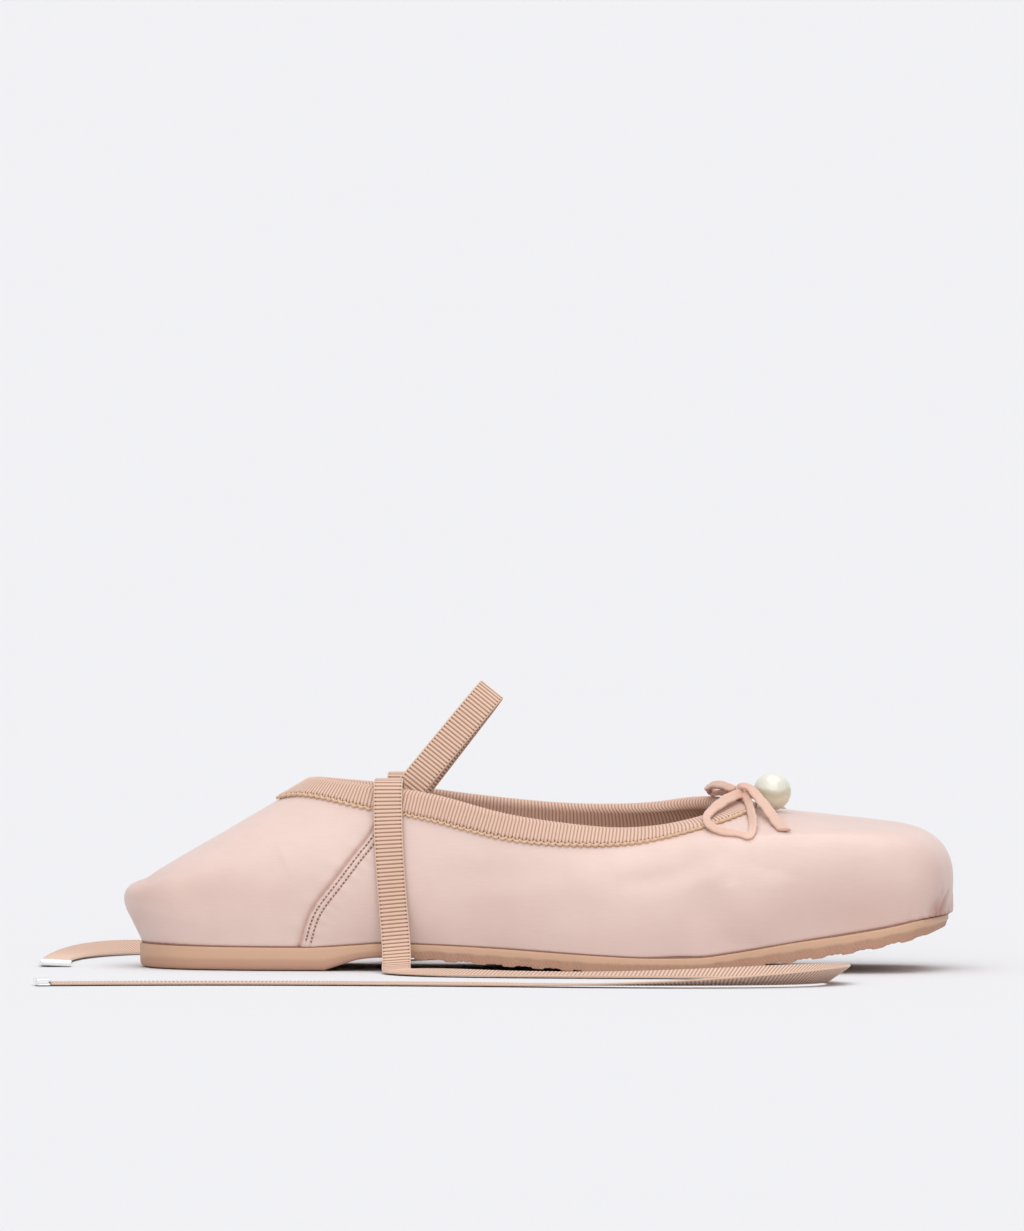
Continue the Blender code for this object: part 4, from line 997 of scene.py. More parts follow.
def satin_relief(grid, normals, lines):
    """How far the satin stands out from the plain skin, in millimetres, and the painted shade for its colour."""
    flat, out = grid.reshape(-1, 3), normals.reshape(-1, 3)
    relief, shade = np.zeros(len(flat)), np.zeros(len(flat))
    for crease in CREASES:
        mask = np.sign(flat[:, 1]) == crease.side
        reach = crease.wide * 3.2
        xs = [p[0] for p in crease.points]
        mask &= (flat[:, 0] > min(xs) - reach) & (flat[:, 0] < max(xs) + reach)
        if not mask.any():
            continue
        line = through(on_side(crease.points, grid, crease.side), 1.0)
        far, share, _ = nearest_on_line(flat[mask], line)
        ends = ease(0.0, crease.fade, share) if crease.fade < 0.49 else np.sin(math.pi * np.clip(share, 0.0, 1.0)) ** 0.5
        ends = np.where(crease.fade < 0.49, ease(-0.01, crease.fade, share), ends)
        relief[mask] -= crease.deep * ends * np.exp(-((far / crease.wide) ** 2))
        # Painted shade in the bottom of each deep, narrow fold.
        if crease.deep > 0.2 and crease.wide < 1.5:
            shade[mask] += 0.34 * ends * np.exp(-((far / (0.9 * crease.wide)) ** 2))
    for side, line in lines.items():
        mask = (np.sign(flat[:, 1]) == side) & (flat[:, 0] > -92) & (flat[:, 0] < -22)
        far, share, which = nearest_on_line(flat[mask], line)
        tangent = unit(np.diff(line, axis=0))[which]
        across = np.cross(tangent, out[mask])
        across *= np.sign(across[:, 0])[:, None]
        signed = np.sum((flat[mask] - line[which]) * across, axis=1)
        along = share * len(line)
        front = 0.46 * ease(-0.25, 0.25, signed) * np.exp(-np.maximum(signed, 0) / 9.0)
        valley = -0.42 * np.exp(-(((signed + 0.40) / 0.55) ** 2))
        welt = 0.12 * np.exp(-(((signed - 0.45) / 0.40) ** 2)) + 0.14 * np.exp(-(((signed - 1.8) / 0.55) ** 2))
        rows = sum(-0.20 * np.exp(-(((signed - at) / 0.40) ** 2)) for at in STITCH_ROWS)
        pucker = 0.11 * np.sin(2 * math.pi * along / 4.3 + 0.7 * np.sin(along * 0.37)) * np.exp(-(((signed - 2.2) / 3.6) ** 2))
        pull = 0.07 * np.sin(2 * math.pi * along / 7.1 + 1.0) * np.exp(-(((signed + 2.4) / 2.8) ** 2))
        # Painted shade in the seam's groove, on the rear panel beside it, and along the two stitch rows.
        shade[mask] += 0.40 * np.exp(-(((signed + 0.40) / 0.50) ** 2)) + 0.20 * ease(-3.2, -0.4, signed) * (signed < 0)
        shade[mask] += sum(0.10 * np.exp(-(((signed - at) / 0.35) ** 2)) for at in STITCH_ROWS)
        relief[mask] += front + valley + welt + rows + pucker + pull
    x, y, z = flat.T
    for patch in PATCHES:
        near = ((x - patch.x) / patch.long) ** 2 + ((z - patch.z) / patch.high) ** 2
        shade += patch.depth * np.exp(-near) * (np.where(y > 0, 1, -1) == patch.side)
    # The heel's stiffener ends in a small soft step at the top of the back.
    across = np.exp(-((y / 15.0) ** 2))
    relief += across * 0.60 * np.exp(-(((x + 125.0) ** 2 + (z - 23.0) ** 2) / 3.4**2))
    relief -= across * 0.40 * np.exp(-(((x + 119.6) ** 2 + (z - 26.6) ** 2) / 2.4**2))
    relief += 0.16 * wobble(x * 0.16, z * 0.22 + y * 0.06, 1.7)
    return relief.reshape(grid.shape[:2]), shade.reshape(grid.shape[:2])


def make_upper():
    stations = skin_stations()
    count = 118
    grid = skin_grid(stations, count)
    normals = outward(grid)
    lines = {side: seam_line(grid, side) for side in (-1, 1)}
    relief, shade = satin_relief(grid, normals, lines)
    # Under the binding the satin stays on its line.
    down = np.linspace(1, 0, count)[None, :] * np.linalg.norm(np.diff(grid, axis=1), axis=2).sum(1)[:, None]
    relief *= ease(3.5, 8.0, down)
    # Small gathers where the satin is drawn in at the feather edge round heel and toe.
    turn = np.concatenate([[0], np.cumsum(np.linalg.norm(np.diff(grid[:, 0], axis=0), axis=1))])
    x = grid[:, 0, 0]
    ends = ease(104.0, 119.0, x) + 0.6 * ease(-100.0, -116.0, x)
    up_rib = np.linspace(0, 1, count)[None, :] * np.linalg.norm(np.diff(grid, axis=1), axis=2).sum(1)[:, None]
    gather = 0.16 * (np.sin(2 * math.pi * turn / 3.7 + 1.2 * np.sin(turn * 0.31)) * ends)[:, None] * np.exp(-up_rib / 3.2)
    outer = grid + normals * (relief + gather)[..., None]
    inner_grid = grid[:, ::4] if (count - 1) % 4 == 0 else grid[:, ::3]
    inner_normals = normals[:, ::4] if (count - 1) % 4 == 0 else normals[:, ::3]
    inner = inner_grid - inner_normals * (WALL - 0.05)
    ring = np.concatenate([outer, inner[:, ::-1]], axis=1)
    # Painted shade fades out at the collar edge under the binding, and more is painted just above the sole and in the
    # small gathers round heel and toe.
    shade = shade * ease(1.0, 2.5, down)
    shade += 0.30 * np.exp(-((up_rib / 0.7) ** 2)) + 0.12 * np.exp(-up_rib / 4.0) * ends[:, None]
    shade = np.clip(np.concatenate([shade, np.zeros_like(inner[..., 0])], axis=1), 0.0, 0.85)
    rise = np.concatenate([[0], np.cumsum(np.linalg.norm(np.diff(ring, axis=1), axis=2).mean(0))])
    v = np.concatenate([rise, [rise[-1] + WALL]])
    pick = [0] * (count - 1) + [1] * (ring.shape[1] - count + 1)
    obj = grid_piece(
        "satin_upper", ring, np.append(turn, turn[-1] + 1.0), v, [SATIN, LINING], closed_u=True, closed_v=True, pick=pick,
        shade=shade,
    )
    tree = BVHTree.FromPolygons(
        [Vector(p) for p in outer.reshape(-1, 3)],
        [
            (i * count + j, ((i + 1) % len(stations)) * count + j, ((i + 1) % len(stations)) * count + j + 1, i * count + j + 1)
            for i in range(len(stations))
            for j in range(count - 1)
        ],
    )
    flat, out = grid.reshape(-1, 3), normals.reshape(-1, 3)
    seams = {}
    for side, line in lines.items():
        fine = through(line, 0.25)
        seams[side] = (fine, np.array([out[np.argmin(((flat - p) ** 2).sum(1))] for p in fine]))
    return obj, tree, seams


def make_stitches(tree, seams):
    """Two rows of stitches in front of each side seam: short sunk threads, and between every two a dark capsule, the
    painted shade of a needle hole.
    """
    thread_points, thread_faces, hole_points, hole_faces = [], [], [], []

    def capsule(points, faces, middle, along, across, out, long, wide, high, steps=6):
        start = len(points)
        rings = 5
        for r in range(rings):
            a = math.pi * (r + 0.5) / rings - math.pi / 2
            for k in range(steps):
                b = 2 * math.pi * k / steps
                points.append(
                    middle
                    + along * math.sin(a) * long / 2
                    + (across * math.cos(b) * wide / 2 + out * math.sin(b) * high / 2) * math.cos(a) ** 0.6
                )
        for r in range(rings - 1):
            for k in range(steps):
                faces.append(
                    [start + r * steps + k, start + r * steps + (k + 1) % steps, start + (r + 1) * steps + (k + 1) % steps, start + (r + 1) * steps + k]
                )
        faces.append([start + k for k in range(steps)][::-1])
        faces.append([start + (rings - 1) * steps + k for k in range(steps)])

    for fine, plain_out in seams.values():
        tangent = unit(np.gradient(fine, axis=0))
        kernel = np.hanning(41) / np.hanning(41).sum()
        for offset in STITCH_ROWS:
            row = []
            faces_out = unit(
                np.stack([np.convolve(np.pad(plain_out[:, k], 20, mode="edge"), kernel, "valid") for k in range(3)], axis=1)
            )
            for p, t, out in zip(fine, tangent, faces_out):
                across = unit(np.cross(t, out))
                across *= np.sign(across[0])
                where = tree.ray_cast(Vector(p + across * offset + out * 6.0), Vector(-out))[0]
                if where is not None and (where - Vector(p)).length < offset + 1.5:
                    row.append((np.array(where), out, t, across))
            places = np.array([r[0] for r in row])
            run = np.concatenate([[0], np.cumsum(np.linalg.norm(np.diff(places, axis=0), axis=1))])
            at = 2.0
            while at < run[-1] - 1.2:
                for kind, where in (("hole", at), ("thread", at + STITCH / 2)):
                    k = int(np.argmin(np.abs(run - where)))
                    place, out, t, across = row[k]
                    # A dark capsule: painted shade of the needle hole.
                    if kind == "hole":
                        capsule(hole_points, hole_faces, place + out * 0.10, t, across, out, 0.84, 0.60, 0.34)
                    else:
                        capsule(thread_points, thread_faces, place + out * 0.08, t, across, out, 0.62, 0.50, 0.36)
                at += STITCH
    pieces = []
    for name, points, faces, finish in (
        ("side_seam_threads", thread_points, thread_faces, THREAD),
        ("side_seam_hole_shades", hole_points, hole_faces, HOLE_SHADE),
    ):
        uv = np.zeros((sum(len(f) for f in faces), 2))
        pieces.append(put_together(name, np.array(points), faces, uv, [finish]))
    return pieces


# ------------------------------------------------------------------ the binding
BINDING_THICK = 1.05
FINE_RIB = 1.065  # pitch of the binding's ribs
PICOT = 1.0  # smooth woven edge below the ribs


def make_binding():
    rough = np.linspace(0, WHOLE, 3000, endpoint=False)
    row = ROUND(rough)
    collar = np.stack([row[:, 2], row[:, 3], row[:, 4]], axis=1)
    step = np.linalg.norm(np.roll(collar, -1, axis=0) - collar, axis=1)
    run = np.concatenate([[0], np.cumsum(step)])
    ribs = 2 * int(round(run[-1] / FINE_RIB / 2))
    per_rib = 5
    want = np.arange(ribs * per_rib) / (ribs * per_rib) * run[-1]
    stations = np.interp(want, run, np.append(rough, WHOLE))
    phase = np.arange(ribs * per_rib + 1) / per_rib
    grid = skin_grid(stations, 70)
    normals = outward(grid)
    top, top_out, top_up = below_top(grid, normals, 0.0)
    # At the throat the ribbon is folded under and a little narrower.
    deep = ROUND(stations)[:, 10] - 1.1 * np.exp(-((top[:, 1] / 9.0) ** 2)) * (top[:, 0] > 0)
    # The skin's ribs run aslant to the collar at throat and heel. The ribbon's ribs are square to it, so the rib
    # count at a depth is that of the place on the collar straight above.
    nearby, _, _ = below_top(grid, normals, 3.0)
    tangent = unit(np.roll(top, -1, axis=0) - np.roll(top, 1, axis=0))
    aslant = np.sum(tangent * (nearby - top), axis=1) / 3.0
    kernel = np.hanning(61)
    kernel /= kernel.sum()
    aslant = np.convolve(np.concatenate([aslant[-30:], aslant, aslant[:30]]), kernel, "valid")

    def count_at(depth):
        return phase[:-1] + aslant * depth / FINE_RIB

    def rib_at(depth):
        return (0.5 + 0.5 * np.cos(2 * math.pi * count_at(depth))) ** 0.6

    rib = rib_at(np.zeros_like(deep))
    scallop = np.abs(np.cos(math.pi * count_at(deep) / 2)) ** 0.7  # one scallop for two ribs
    low = deep + 0.85 * scallop - 0.45
    bead = (0.05, 0.18, 0.34, 0.50, 0.66, 0.80, 0.90, 1.05, 1.30)  # heights above the lower edge, over the picot

    def leg(side):
        """Points up one face from its lower edge: side +1 outside, -1 inside. First the picot, then the ribs."""
        rows, measured, counts = [], [], []
        for up in (0.0, *bead):
            depth = np.maximum(low - up, 0.0)
            round_bead = (0.42 + 0.60 * np.sqrt(max(0.0, 1 - ((up - 0.45) / 0.46) ** 2))) * (0.80 + 0.20 * scallop)
            ribs = BINDING_THICK - 0.17 * (1 - rib_at(depth))
            stand = round_bead if up < 0.85 else (0.50 + (ribs - 0.50) * ease(0.88, 1.28, up))
            if up == 0.0:
                stand = np.full_like(low, 0.12)
            place, out, _ = below_top(grid, normals, depth)
            base = GAP * 0.4 if side > 0 else -(WALL + GAP * 0.4)
            rows.append(place + out * (base + side * stand)[:, None])
            measured.append(up)
            counts.append(count_at(depth))
        for share in (0.86, 0.72, 0.58, 0.44, 0.30, 0.16, 0.05):
            depth = (low - 1.3) * share
            place, out, _ = below_top(grid, normals, depth)
            base = GAP * 0.4 if side > 0 else -(WALL + GAP * 0.4)
            rows.append(place + out * (base + side * (BINDING_THICK - 0.17 * (1 - rib_at(depth))))[:, None])
            measured.append(low.mean() - depth.mean())
            counts.append(count_at(depth))
        return rows, measured, counts

    outer, outer_v, outer_u = leg(1)
    inner, inner_v, inner_u = (rows[::-1] for rows in leg(-1))
    middle = top - top_out * WALL / 2
    big = WALL / 2 + GAP * 0.4 + BINDING_THICK - 0.22 * (1 - rib)
    small = WALL / 2 + GAP * 0.4
    arc, arc_v = [], []
    for degrees in (0, 25, 50, 75, 105, 130, 155, 180):
        a = math.radians(degrees)
        arc.append(middle + big[:, None] * (math.cos(a) * top_out + math.sin(a) * top_up))
        arc_v.append(outer_v[-1] + 0.3 + math.radians(degrees) * 2.0)
    hidden = []
    for share in (0.97, 0.5, 0.05):
        place, out, _ = below_top(grid, normals, deep * share)
        hidden.append(place - out * (WALL + GAP * 0.35))
    for degrees in (180, 120, 60, 0):
        a = math.radians(degrees)
        hidden.append(middle + small * (math.cos(a) * top_out + math.sin(a) * top_up))
    for share in (0.05, 0.5, 0.97):
        place, out, _ = below_top(grid, normals, deep * share)
        hidden.append(place + out * (GAP * 0.35))
    ring = np.stack(outer + arc + inner + hidden, axis=1)
    # V counts from the lower edge on both faces, so the picot is smooth inside as well.
    v = list(outer_v) + arc_v + list(inner_v)
    v = v + [3.0] * len(hidden) + [outer_v[0]]
    plain = [phase[:-1]]
    u = np.stack(outer_u + plain * len(arc) + list(inner_u) + plain * len(hidden) + [outer_u[0]], axis=1)
    u = np.concatenate([u, u[:1] + ribs], axis=0)
    return grid_piece("collar_binding_ribbon", ring, u, v, [BINDING_CLOTH], closed_u=True, closed_v=True)


# ------------------------------------------------------------------ bow and pearl
def skin_height(tree, x, y):
    place = tree.ray_cast(Vector((x, y, 120.0)), Vector((0.0, 0.0, -1.0)))[0]
    if place is None:
        place = tree.find_nearest(Vector((x, y, SECTIONS[-1].top_zl)))[0]
    return place.z


# The cord of the bow as it lies, pressed flat: place, height of its middle above the satin, and half width
Pressed = namedtuple("Pressed", "x y lift wide")
NEAR_LOOP = [
    Pressed(62.4, -3.4, 4.0, 1.60),
    Pressed(60.6, -6.4, 3.5, 1.80),
    Pressed(58.4, -12.0, 3.5, 1.85),
    Pressed(56.3, -16.4, 3.2, 1.70),
    Pressed(54.5, -20.2, 2.8, 1.50),
    Pressed(53.2, -24.0, 2.4, 1.30),
    Pressed(53.4, -27.6, 2.1, 1.25),
    Pressed(55.2, -30.8, 1.7, 1.30),
    Pressed(57.6, -32.4, 1.35, 1.35),
    Pressed(60.8, -33.6, 1.05, 1.25),
    Pressed(64.2, -34.4, 0.95, 1.15),
    Pressed(66.8, -34.8, 0.95, 1.35),
    Pressed(67.6, -32.2, 1.0, 1.35),
    Pressed(67.4, -27.2, 1.1, 1.35),
    Pressed(66.8, -21.8, 1.3, 1.35),
    Pressed(65.9, -16.2, 1.6, 1.30),
    Pressed(65.0, -10.8, 2.1, 1.25),
    Pressed(63.9, -6.6, 3.0, 1.30),
    Pressed(63.0, -4.0, 4.2, 1.30),
]
FAR_LOOP = [
    Pressed(59.2, 2.6, 4.2, 1.30),
    Pressed(55.8, 7.6, 5.1, 1.45),
    Pressed(53.0, 12.4, 5.2, 1.50),
    Pressed(50.9, 16.6, 4.4, 1.50),
    Pressed(50.2, 19.4, 3.4, 1.45),
    Pressed(51.0, 20.2, 2.6, 1.40),
    Pressed(53.4, 16.0, 2.3, 1.35),
    Pressed(56.0, 10.0, 3.1, 1.35),
    Pressed(59.0, 5.2, 3.6, 1.30),
]
NEAR_TAIL = [
    Pressed(60.9, -2.6, 4.6, 1.30),
    Pressed(61.7, -2.9, 5.8, 1.35),
    Pressed(62.8, -3.3, 6.2, 1.40),
    Pressed(64.9, -5.2, 6.0, 1.45),
    Pressed(67.1, -8.8, 4.9, 1.60),
    Pressed(69.4, -13.4, 3.7, 1.70),
    Pressed(71.8, -18.6, 2.4, 1.70),
    Pressed(74.4, -25.0, 1.25, 1.70),
    Pressed(77.3, -32.4, 0.9, 1.70),
]
FAR_TAIL = [
    Pressed(60.8, 3.0, 4.2, 1.40),
    Pressed(62.8, 4.4, 4.0, 1.55),
    Pressed(65.6, 7.4, 3.0, 1.65),
    Pressed(68.2, 12.2, 2.1, 1.60),
    Pressed(70.4, 20.0, 1.4, 1.50),
    Pressed(71.6, 28.0, 1.0, 1.50),
]


def flat_cord(name, rows, tree, lean, thick=0.58, cut=0.0, roll=0.0, rolls=(0.45, 0.75)):
    """Tubular satin cord, pressed flat. lean tips its broad face towards that side of the shoe."""
    points = np.array([(p.x, p.y, skin_height(tree, p.x, p.y) + p.lift, p.wide) for p in rows])
    path = through(points, 0.35)
    path, half = path[:, :3], path[:, 3]
    run = unit(np.gradient(path, axis=0))
    face = []
    for p in path:
        out = np.array(tree.find_nearest(Vector(p))[1])
        out = out if out[2] > 0 else -out
        face.append(out * 0.7 + np.array(lean))
    face = np.array(face)
    kernel = np.hanning(31)
    face = np.stack(
        [np.convolve(np.pad(face[:, k], 15, mode="edge"), kernel / kernel.sum(), "valid") for k in range(3)], axis=1
    )
    side = unit(np.cross(run, face))
    up = np.cross(side, run)
    if roll:
        # The cord rolls slowly onto its edge over the second half of a loop.
        angle = np.radians(roll) * ease(*rolls, np.linspace(0, 1, len(path)))[:, None]
        side, up = side * np.cos(angle) + up * np.sin(angle), up * np.cos(angle) - side * np.sin(angle)
    a = np.linspace(0, 2 * math.pi, 24, endpoint=False)
    across = np.sign(np.cos(a)) * np.abs(np.cos(a)) ** 0.7
    through_ = np.sign(np.sin(a)) * np.abs(np.sin(a)) ** 0.6
    length = np.concatenate([[0], np.cumsum(np.linalg.norm(np.diff(path, axis=0), axis=1))])
    press = 1 + 0.05 * np.sin(length * 0.9) + 0.03 * np.sin(length * 2.3 + 1.0)
    crease = 1 - 0.16 * np.exp(-((across / 0.28) ** 2))  # a soft trough down the middle of the pressed tube
    ends = np.minimum(ease(0.0, 0.8, length) * 0.45 + 0.55, 1.0)
    rings = (
        path[:, None]
        + side[:, None] * (across[None, :] * (half * press)[:, None] * ends[:, None])[..., None]
        + up[:, None] * ((through_ * crease)[None, :] * (thick * np.clip(1 / press, 0.9, 1.2))[:, None])[..., None]
    )
    if cut:
        fade = ease(length[-1] - 4.0, length[-1], length)[:, None, None]
        rings = rings + (across * cut)[None, :, None] * run[:, None] * fade
    v = np.arange(25) / 24
    return grid_piece(name, rings, length, v, [CORD], closed_v=True, caps=True)


def make_bow(tree):
    side = (0.0, -0.55, 0.15)
    other = (0.0, -0.9, 0.10)
    pieces = [
        (flat_cord("bow_loop_near", NEAR_LOOP, tree, (0.0, -1.2, 0.15), roll=25.0), "bow_loop_lateral"),
        (flat_cord("bow_loop_far", FAR_LOOP, tree, (0.0, -1.6, 0.1), thick=0.70, roll=70.0, rolls=(0.56, 0.80)), "bow_loop_medial"),
        (flat_cord("bow_tail_near", NEAR_TAIL, tree, side, cut=-1.5), "bow_tail_lateral"),
        (flat_cord("bow_tail_far", FAR_TAIL, tree, other, cut=1.3), "bow_tail_medial"),
    ]
    # The knot: the cord wraps once round the crossing, from the vamp up over the loops.
    centre = np.array([KNOT_AT[0], KNOT_AT[1], SECTIONS[-1].top_zl + throat_rise(*KNOT_AT) + GAP + KNOT_SIZE[2]])
    turns = np.linspace(0, 2 * math.pi, 72, endpoint=False)
    path = centre + np.stack(
        [0.5 * np.sin(turns) + 1.1, 2.2 * np.cos(turns), 1.6 * np.sin(turns) - 1.0], axis=1
    )
    run = unit(np.roll(path, -1, axis=0) - np.roll(path, 1, axis=0))
    out = unit(path - centre)
    side_way = unit(np.cross(run, out))
    a = np.linspace(0, 2 * math.pi, 18, endpoint=False)
    wide = 1.75 + 0.12 * np.sin(3 * turns)
    rings = (
        path[:, None]
        + side_way[:, None] * (np.cos(a)[None, :] * wide[:, None])[..., None]
        + out[:, None] * (np.sin(a) * 0.58 * (1 - 0.12 * np.exp(-((np.cos(a) / 0.3) ** 2))))[None, :, None]
    )
    knot = grid_piece(
        "bow_knot_wrap", rings, np.arange(73) * 0.22, np.arange(19) / 18, [CORD], closed_u=True, closed_v=True
    )
    return pieces + [(knot, "bow_knot")]


def make_pearl(tree):
    base = skin_height(tree, *PEARL_AT)
    centre = np.array([*PEARL_AT, base + PEARL_RADIUS + GAP - 0.15])
    rows, turns = 64, 96
    polar = np.linspace(0.012, math.pi - 0.012, rows)
    around = np.linspace(0, 2 * math.pi, turns, endpoint=False)
    # A grown pearl is never quite round: a slight flattening at the drilled poles and very shallow rings.
    radius = PEARL_RADIUS * (1 - 0.006 * np.cos(2 * polar) + 0.0012 * np.sin(9 * polar))
    points = np.stack(
        [
            radius[None, :] * np.sin(polar)[None, :] * np.cos(around)[:, None],
            radius[None, :] * np.sin(polar)[None, :] * np.sin(around)[:, None],
            np.repeat((radius * np.cos(polar))[None, :], turns, axis=0),
        ],
        axis=2,
    )
    points = points * (1 + 0.0015 * wobble(points[..., :1] * 0.6, points[..., 2:] * 0.6 + points[..., 1:2], 0.4))
    cage_points = np.concatenate([points.reshape(-1, 3), [[0, 0, radius[0]], [0, 0, -radius[-1]]]]) + centre
    faces, uv = [], []
    for i in range(turns):
        i2 = (i + 1) % turns
        for j in range(rows - 1):
            faces.append([i * rows + j, i * rows + j + 1, i2 * rows + j + 1, i2 * rows + j])
        faces.append([turns * rows, i * rows, i2 * rows])
        faces.append([turns * rows + 1, i2 * rows + rows - 1, i * rows + rows - 1])
    uv = np.zeros((sum(len(f) for f in faces), 2))
    pearl = put_together("pearl_ball", cage_points, faces, uv, [NACRE])
    # It sits in a small metal cup, sewn down through the satin.
    profile = [(0.2, 0.05), (1.2, 0.05), (1.6, 0.25), (1.85, 0.50), (1.75, 0.56), (1.5, 0.40), (1.2, 0.30), (0.2, 0.30)]
    steps = 40
    ring = np.linspace(0, 2 * math.pi, steps, endpoint=False)
    cup_points = np.array(
        [[(r * math.cos(a), r * math.sin(a), z) for r, z in profile] for a in ring]
    ) + np.array([PEARL_AT[0], PEARL_AT[1], base])
    cup = grid_piece(
        "pearl_cup", cup_points, np.arange(steps + 1) / steps, np.arange(len(profile) + 1) / len(profile), [METAL],
        closed_u=True, closed_v=True,
    )
    return pearl, cup


# ------------------------------------------------------------------ sole and insole
def ledge(stations, plain):
    """How far an edge stands outside the feather edge: at the toe's end the satin overhangs it."""
    x = ROUND(np.asarray(stations, float))[:, 0]
    return (plain - 1.7 * ease(113.0, 124.5, x))[:, None]



TEETH = 3.0  # pitch of the small teeth along the tread's edge


def tread(x):
    """How far the tread stands back from the ground line: lugs reach it, and the small teeth between stop short."""
    x = np.asarray(x, float)
    back = np.zeros_like(x)
    for row in LUGS:
        start, end = row.first - row.pitch / 2, row.last + row.pitch / 2
        inside = ease(start - 2.0, start + 1.0, x) * ease(end + 2.0, end - 1.0, x)
        near = np.abs(np.mod(x - row.first + row.pitch / 2, row.pitch) - row.pitch / 2)
        lug = ease(2.3, 1.5, near)
        small = 0.22 * np.abs(np.sin(math.pi * x / 1.9))
        back = np.maximum(back, inside * (0.62 * (1 - lug) - small * (1 - lug)))
    flat = ease(18.0, 22.0, x) * ease(55.0, 51.0, x)
    return back + flat * 0.42 * (1 - np.abs(np.sin(math.pi * x / TEETH)) ** 0.7)


def make_outsole():
    half = TOE_AT
    dense = np.concatenate(
        [np.linspace(0, 30, 150, endpoint=False), np.linspace(30, half - 34, 860, endpoint=False), np.linspace(half - 34, half, 200)]
    )
    left, left_out = outline(dense, ledge(dense, SOLE_LEDGE))
    right, right_out = outline(WHOLE - dense, ledge(dense, SOLE_LEDGE))
    left[(0, -1), 1] = right[(0, -1), 1] = 0.0
    x = (left[:, 0] + right[:, 0]) / 2
    top = seat(x)
    low = np.minimum(ground(x) + tread(x), top - 2.4)
    run = np.concatenate([[0], np.cumsum(np.linalg.norm(np.diff(left, axis=0), axis=1))])
    worked = ease(-50.0, -30.0, x)  # 0 on the plain heel block, 1 where the edge is serrated
    # Down the wall: share of its height, how far it is drawn in on the plain heel and on the serrated edge.
    wall = [
        (0.00, 0.35, 0.35),
        (0.025, 0.10, 0.10),
        (0.07, 0.00, 0.00),
        (0.20, 0.00, 0.00),
        (0.34, 0.00, 0.00),
        (0.44, 0.00, 0.03),
        (0.50, 0.00, 0.30),
        (0.56, 0.02, 0.42),
        (0.64, 0.03, 0.50),
        (0.72, 0.05, 0.58),
        (0.80, 0.10, 0.68),
        (0.87, 0.22, 0.78),
        (0.93, 0.45, 0.90),
        (0.975, 0.85, 1.02),
        (1.00, 1.50, 1.20),
    ]

    def wall_points(edge, out, sign):
        rows = []
        for share, plain, cut in wall:
            inset = plain * (1 - worked) + cut * worked
            z = top + (low - top) * share
            slant = (run + sign * 0.0) / 1.15 + (z - low) * 0.55
            ridge = (0.5 + 0.5 * np.cos(2 * math.pi * slant)) ** 0.8
            cover = ease(0.48, 0.56, share) * ease(1.0, 0.93, share)
            inset = inset + worked * cover * 0.26 * (1 - ridge)
            rows.append(np.stack([edge[:, 0] - out[:, 0] * inset, edge[:, 1] - out[:, 1] * inset, z], axis=1))
        return rows

    left_rows = wall_points(left, left_out, -1)
    right_rows = wall_points(right, right_out, 1)

    def across(a, b, shares):
        return [a * (1 - t) + b * t for t in shares]

    shares = np.linspace(0, 1, 12)[1:-1]
    ring = left_rows + across(left_rows[-1], right_rows[-1], shares) + right_rows[::-1]
    ring += across(right_rows[0], left_rows[0], shares)
    ring = np.stack(ring, axis=1)
    v = [1 - w[0] for w in wall] + [0.0] * len(shares) + [1 - w[0] for w in wall[::-1]] + [1.0] * len(shares) + [1.0]
    return grid_piece("rubber_sole", ring, run, v, [RUBBER], closed_v=True, weld=True)


def make_insole():
    shares = np.concatenate([np.linspace(0, 0.14, 34, endpoint=False), np.linspace(0.14, 0.86, 150, endpoint=False), np.linspace(0.86, 1, 36)])
    s = shares * TOE_AT
    left, _ = outline(s, -INSOLE_INSET + 0.3)
    right, _ = outline(WHOLE - s, -INSOLE_INSET + 0.3)
    left[:, 1], right[:, 1] = np.minimum(left[:, 1], 0), np.maximum(right[:, 1], 0)
    left[(0, -1), 1] = right[(0, -1), 1] = 0.0
    x = (left[:, 0] + right[:, 0]) / 2
    base = seat(x) + GAP
    rows = []
    t = np.linspace(-1, 1, 37)
    t = np.sign(t) * np.abs(t) ** 0.85
    for value in t:
        share = (value + 1) / 2
        line = left * (1 - share) + right * share
        wide = np.linalg.norm(right - left, axis=1) / 2
        from_edge = wide * (1 - abs(value))
        crown = 0.75 * ease(0.0, 16.0, from_edge)
        round_off = -0.9 * (1 - ease(0.0, 1.6, from_edge)) ** 2
        sewn = -0.28 * np.exp(-(((from_edge - 4.2) / 0.55) ** 2))
        heel_seat = -0.5 * np.exp(-(((x + 92.0) / 26.0) ** 2)) * ease(4.0, 18.0, from_edge)
        z = base + INSOLE_THICK + 0.1 + crown + round_off + sewn + heel_seat
        rows.append(np.concatenate([line, z[:, None]], axis=1))
    for value in (1.0, 0.0, -1.0):
        share = (value + 1) / 2
        line = left * (1 - share) + right * share
        rows.append(np.concatenate([line, (base + 0.05)[:, None]], axis=1))
    ring = np.stack(rows, axis=1)
    return grid_piece("sock_lining", ring, s, np.arange(ring.shape[1] + 1) * 1.0, [SOCK], closed_v=True, weld=True)


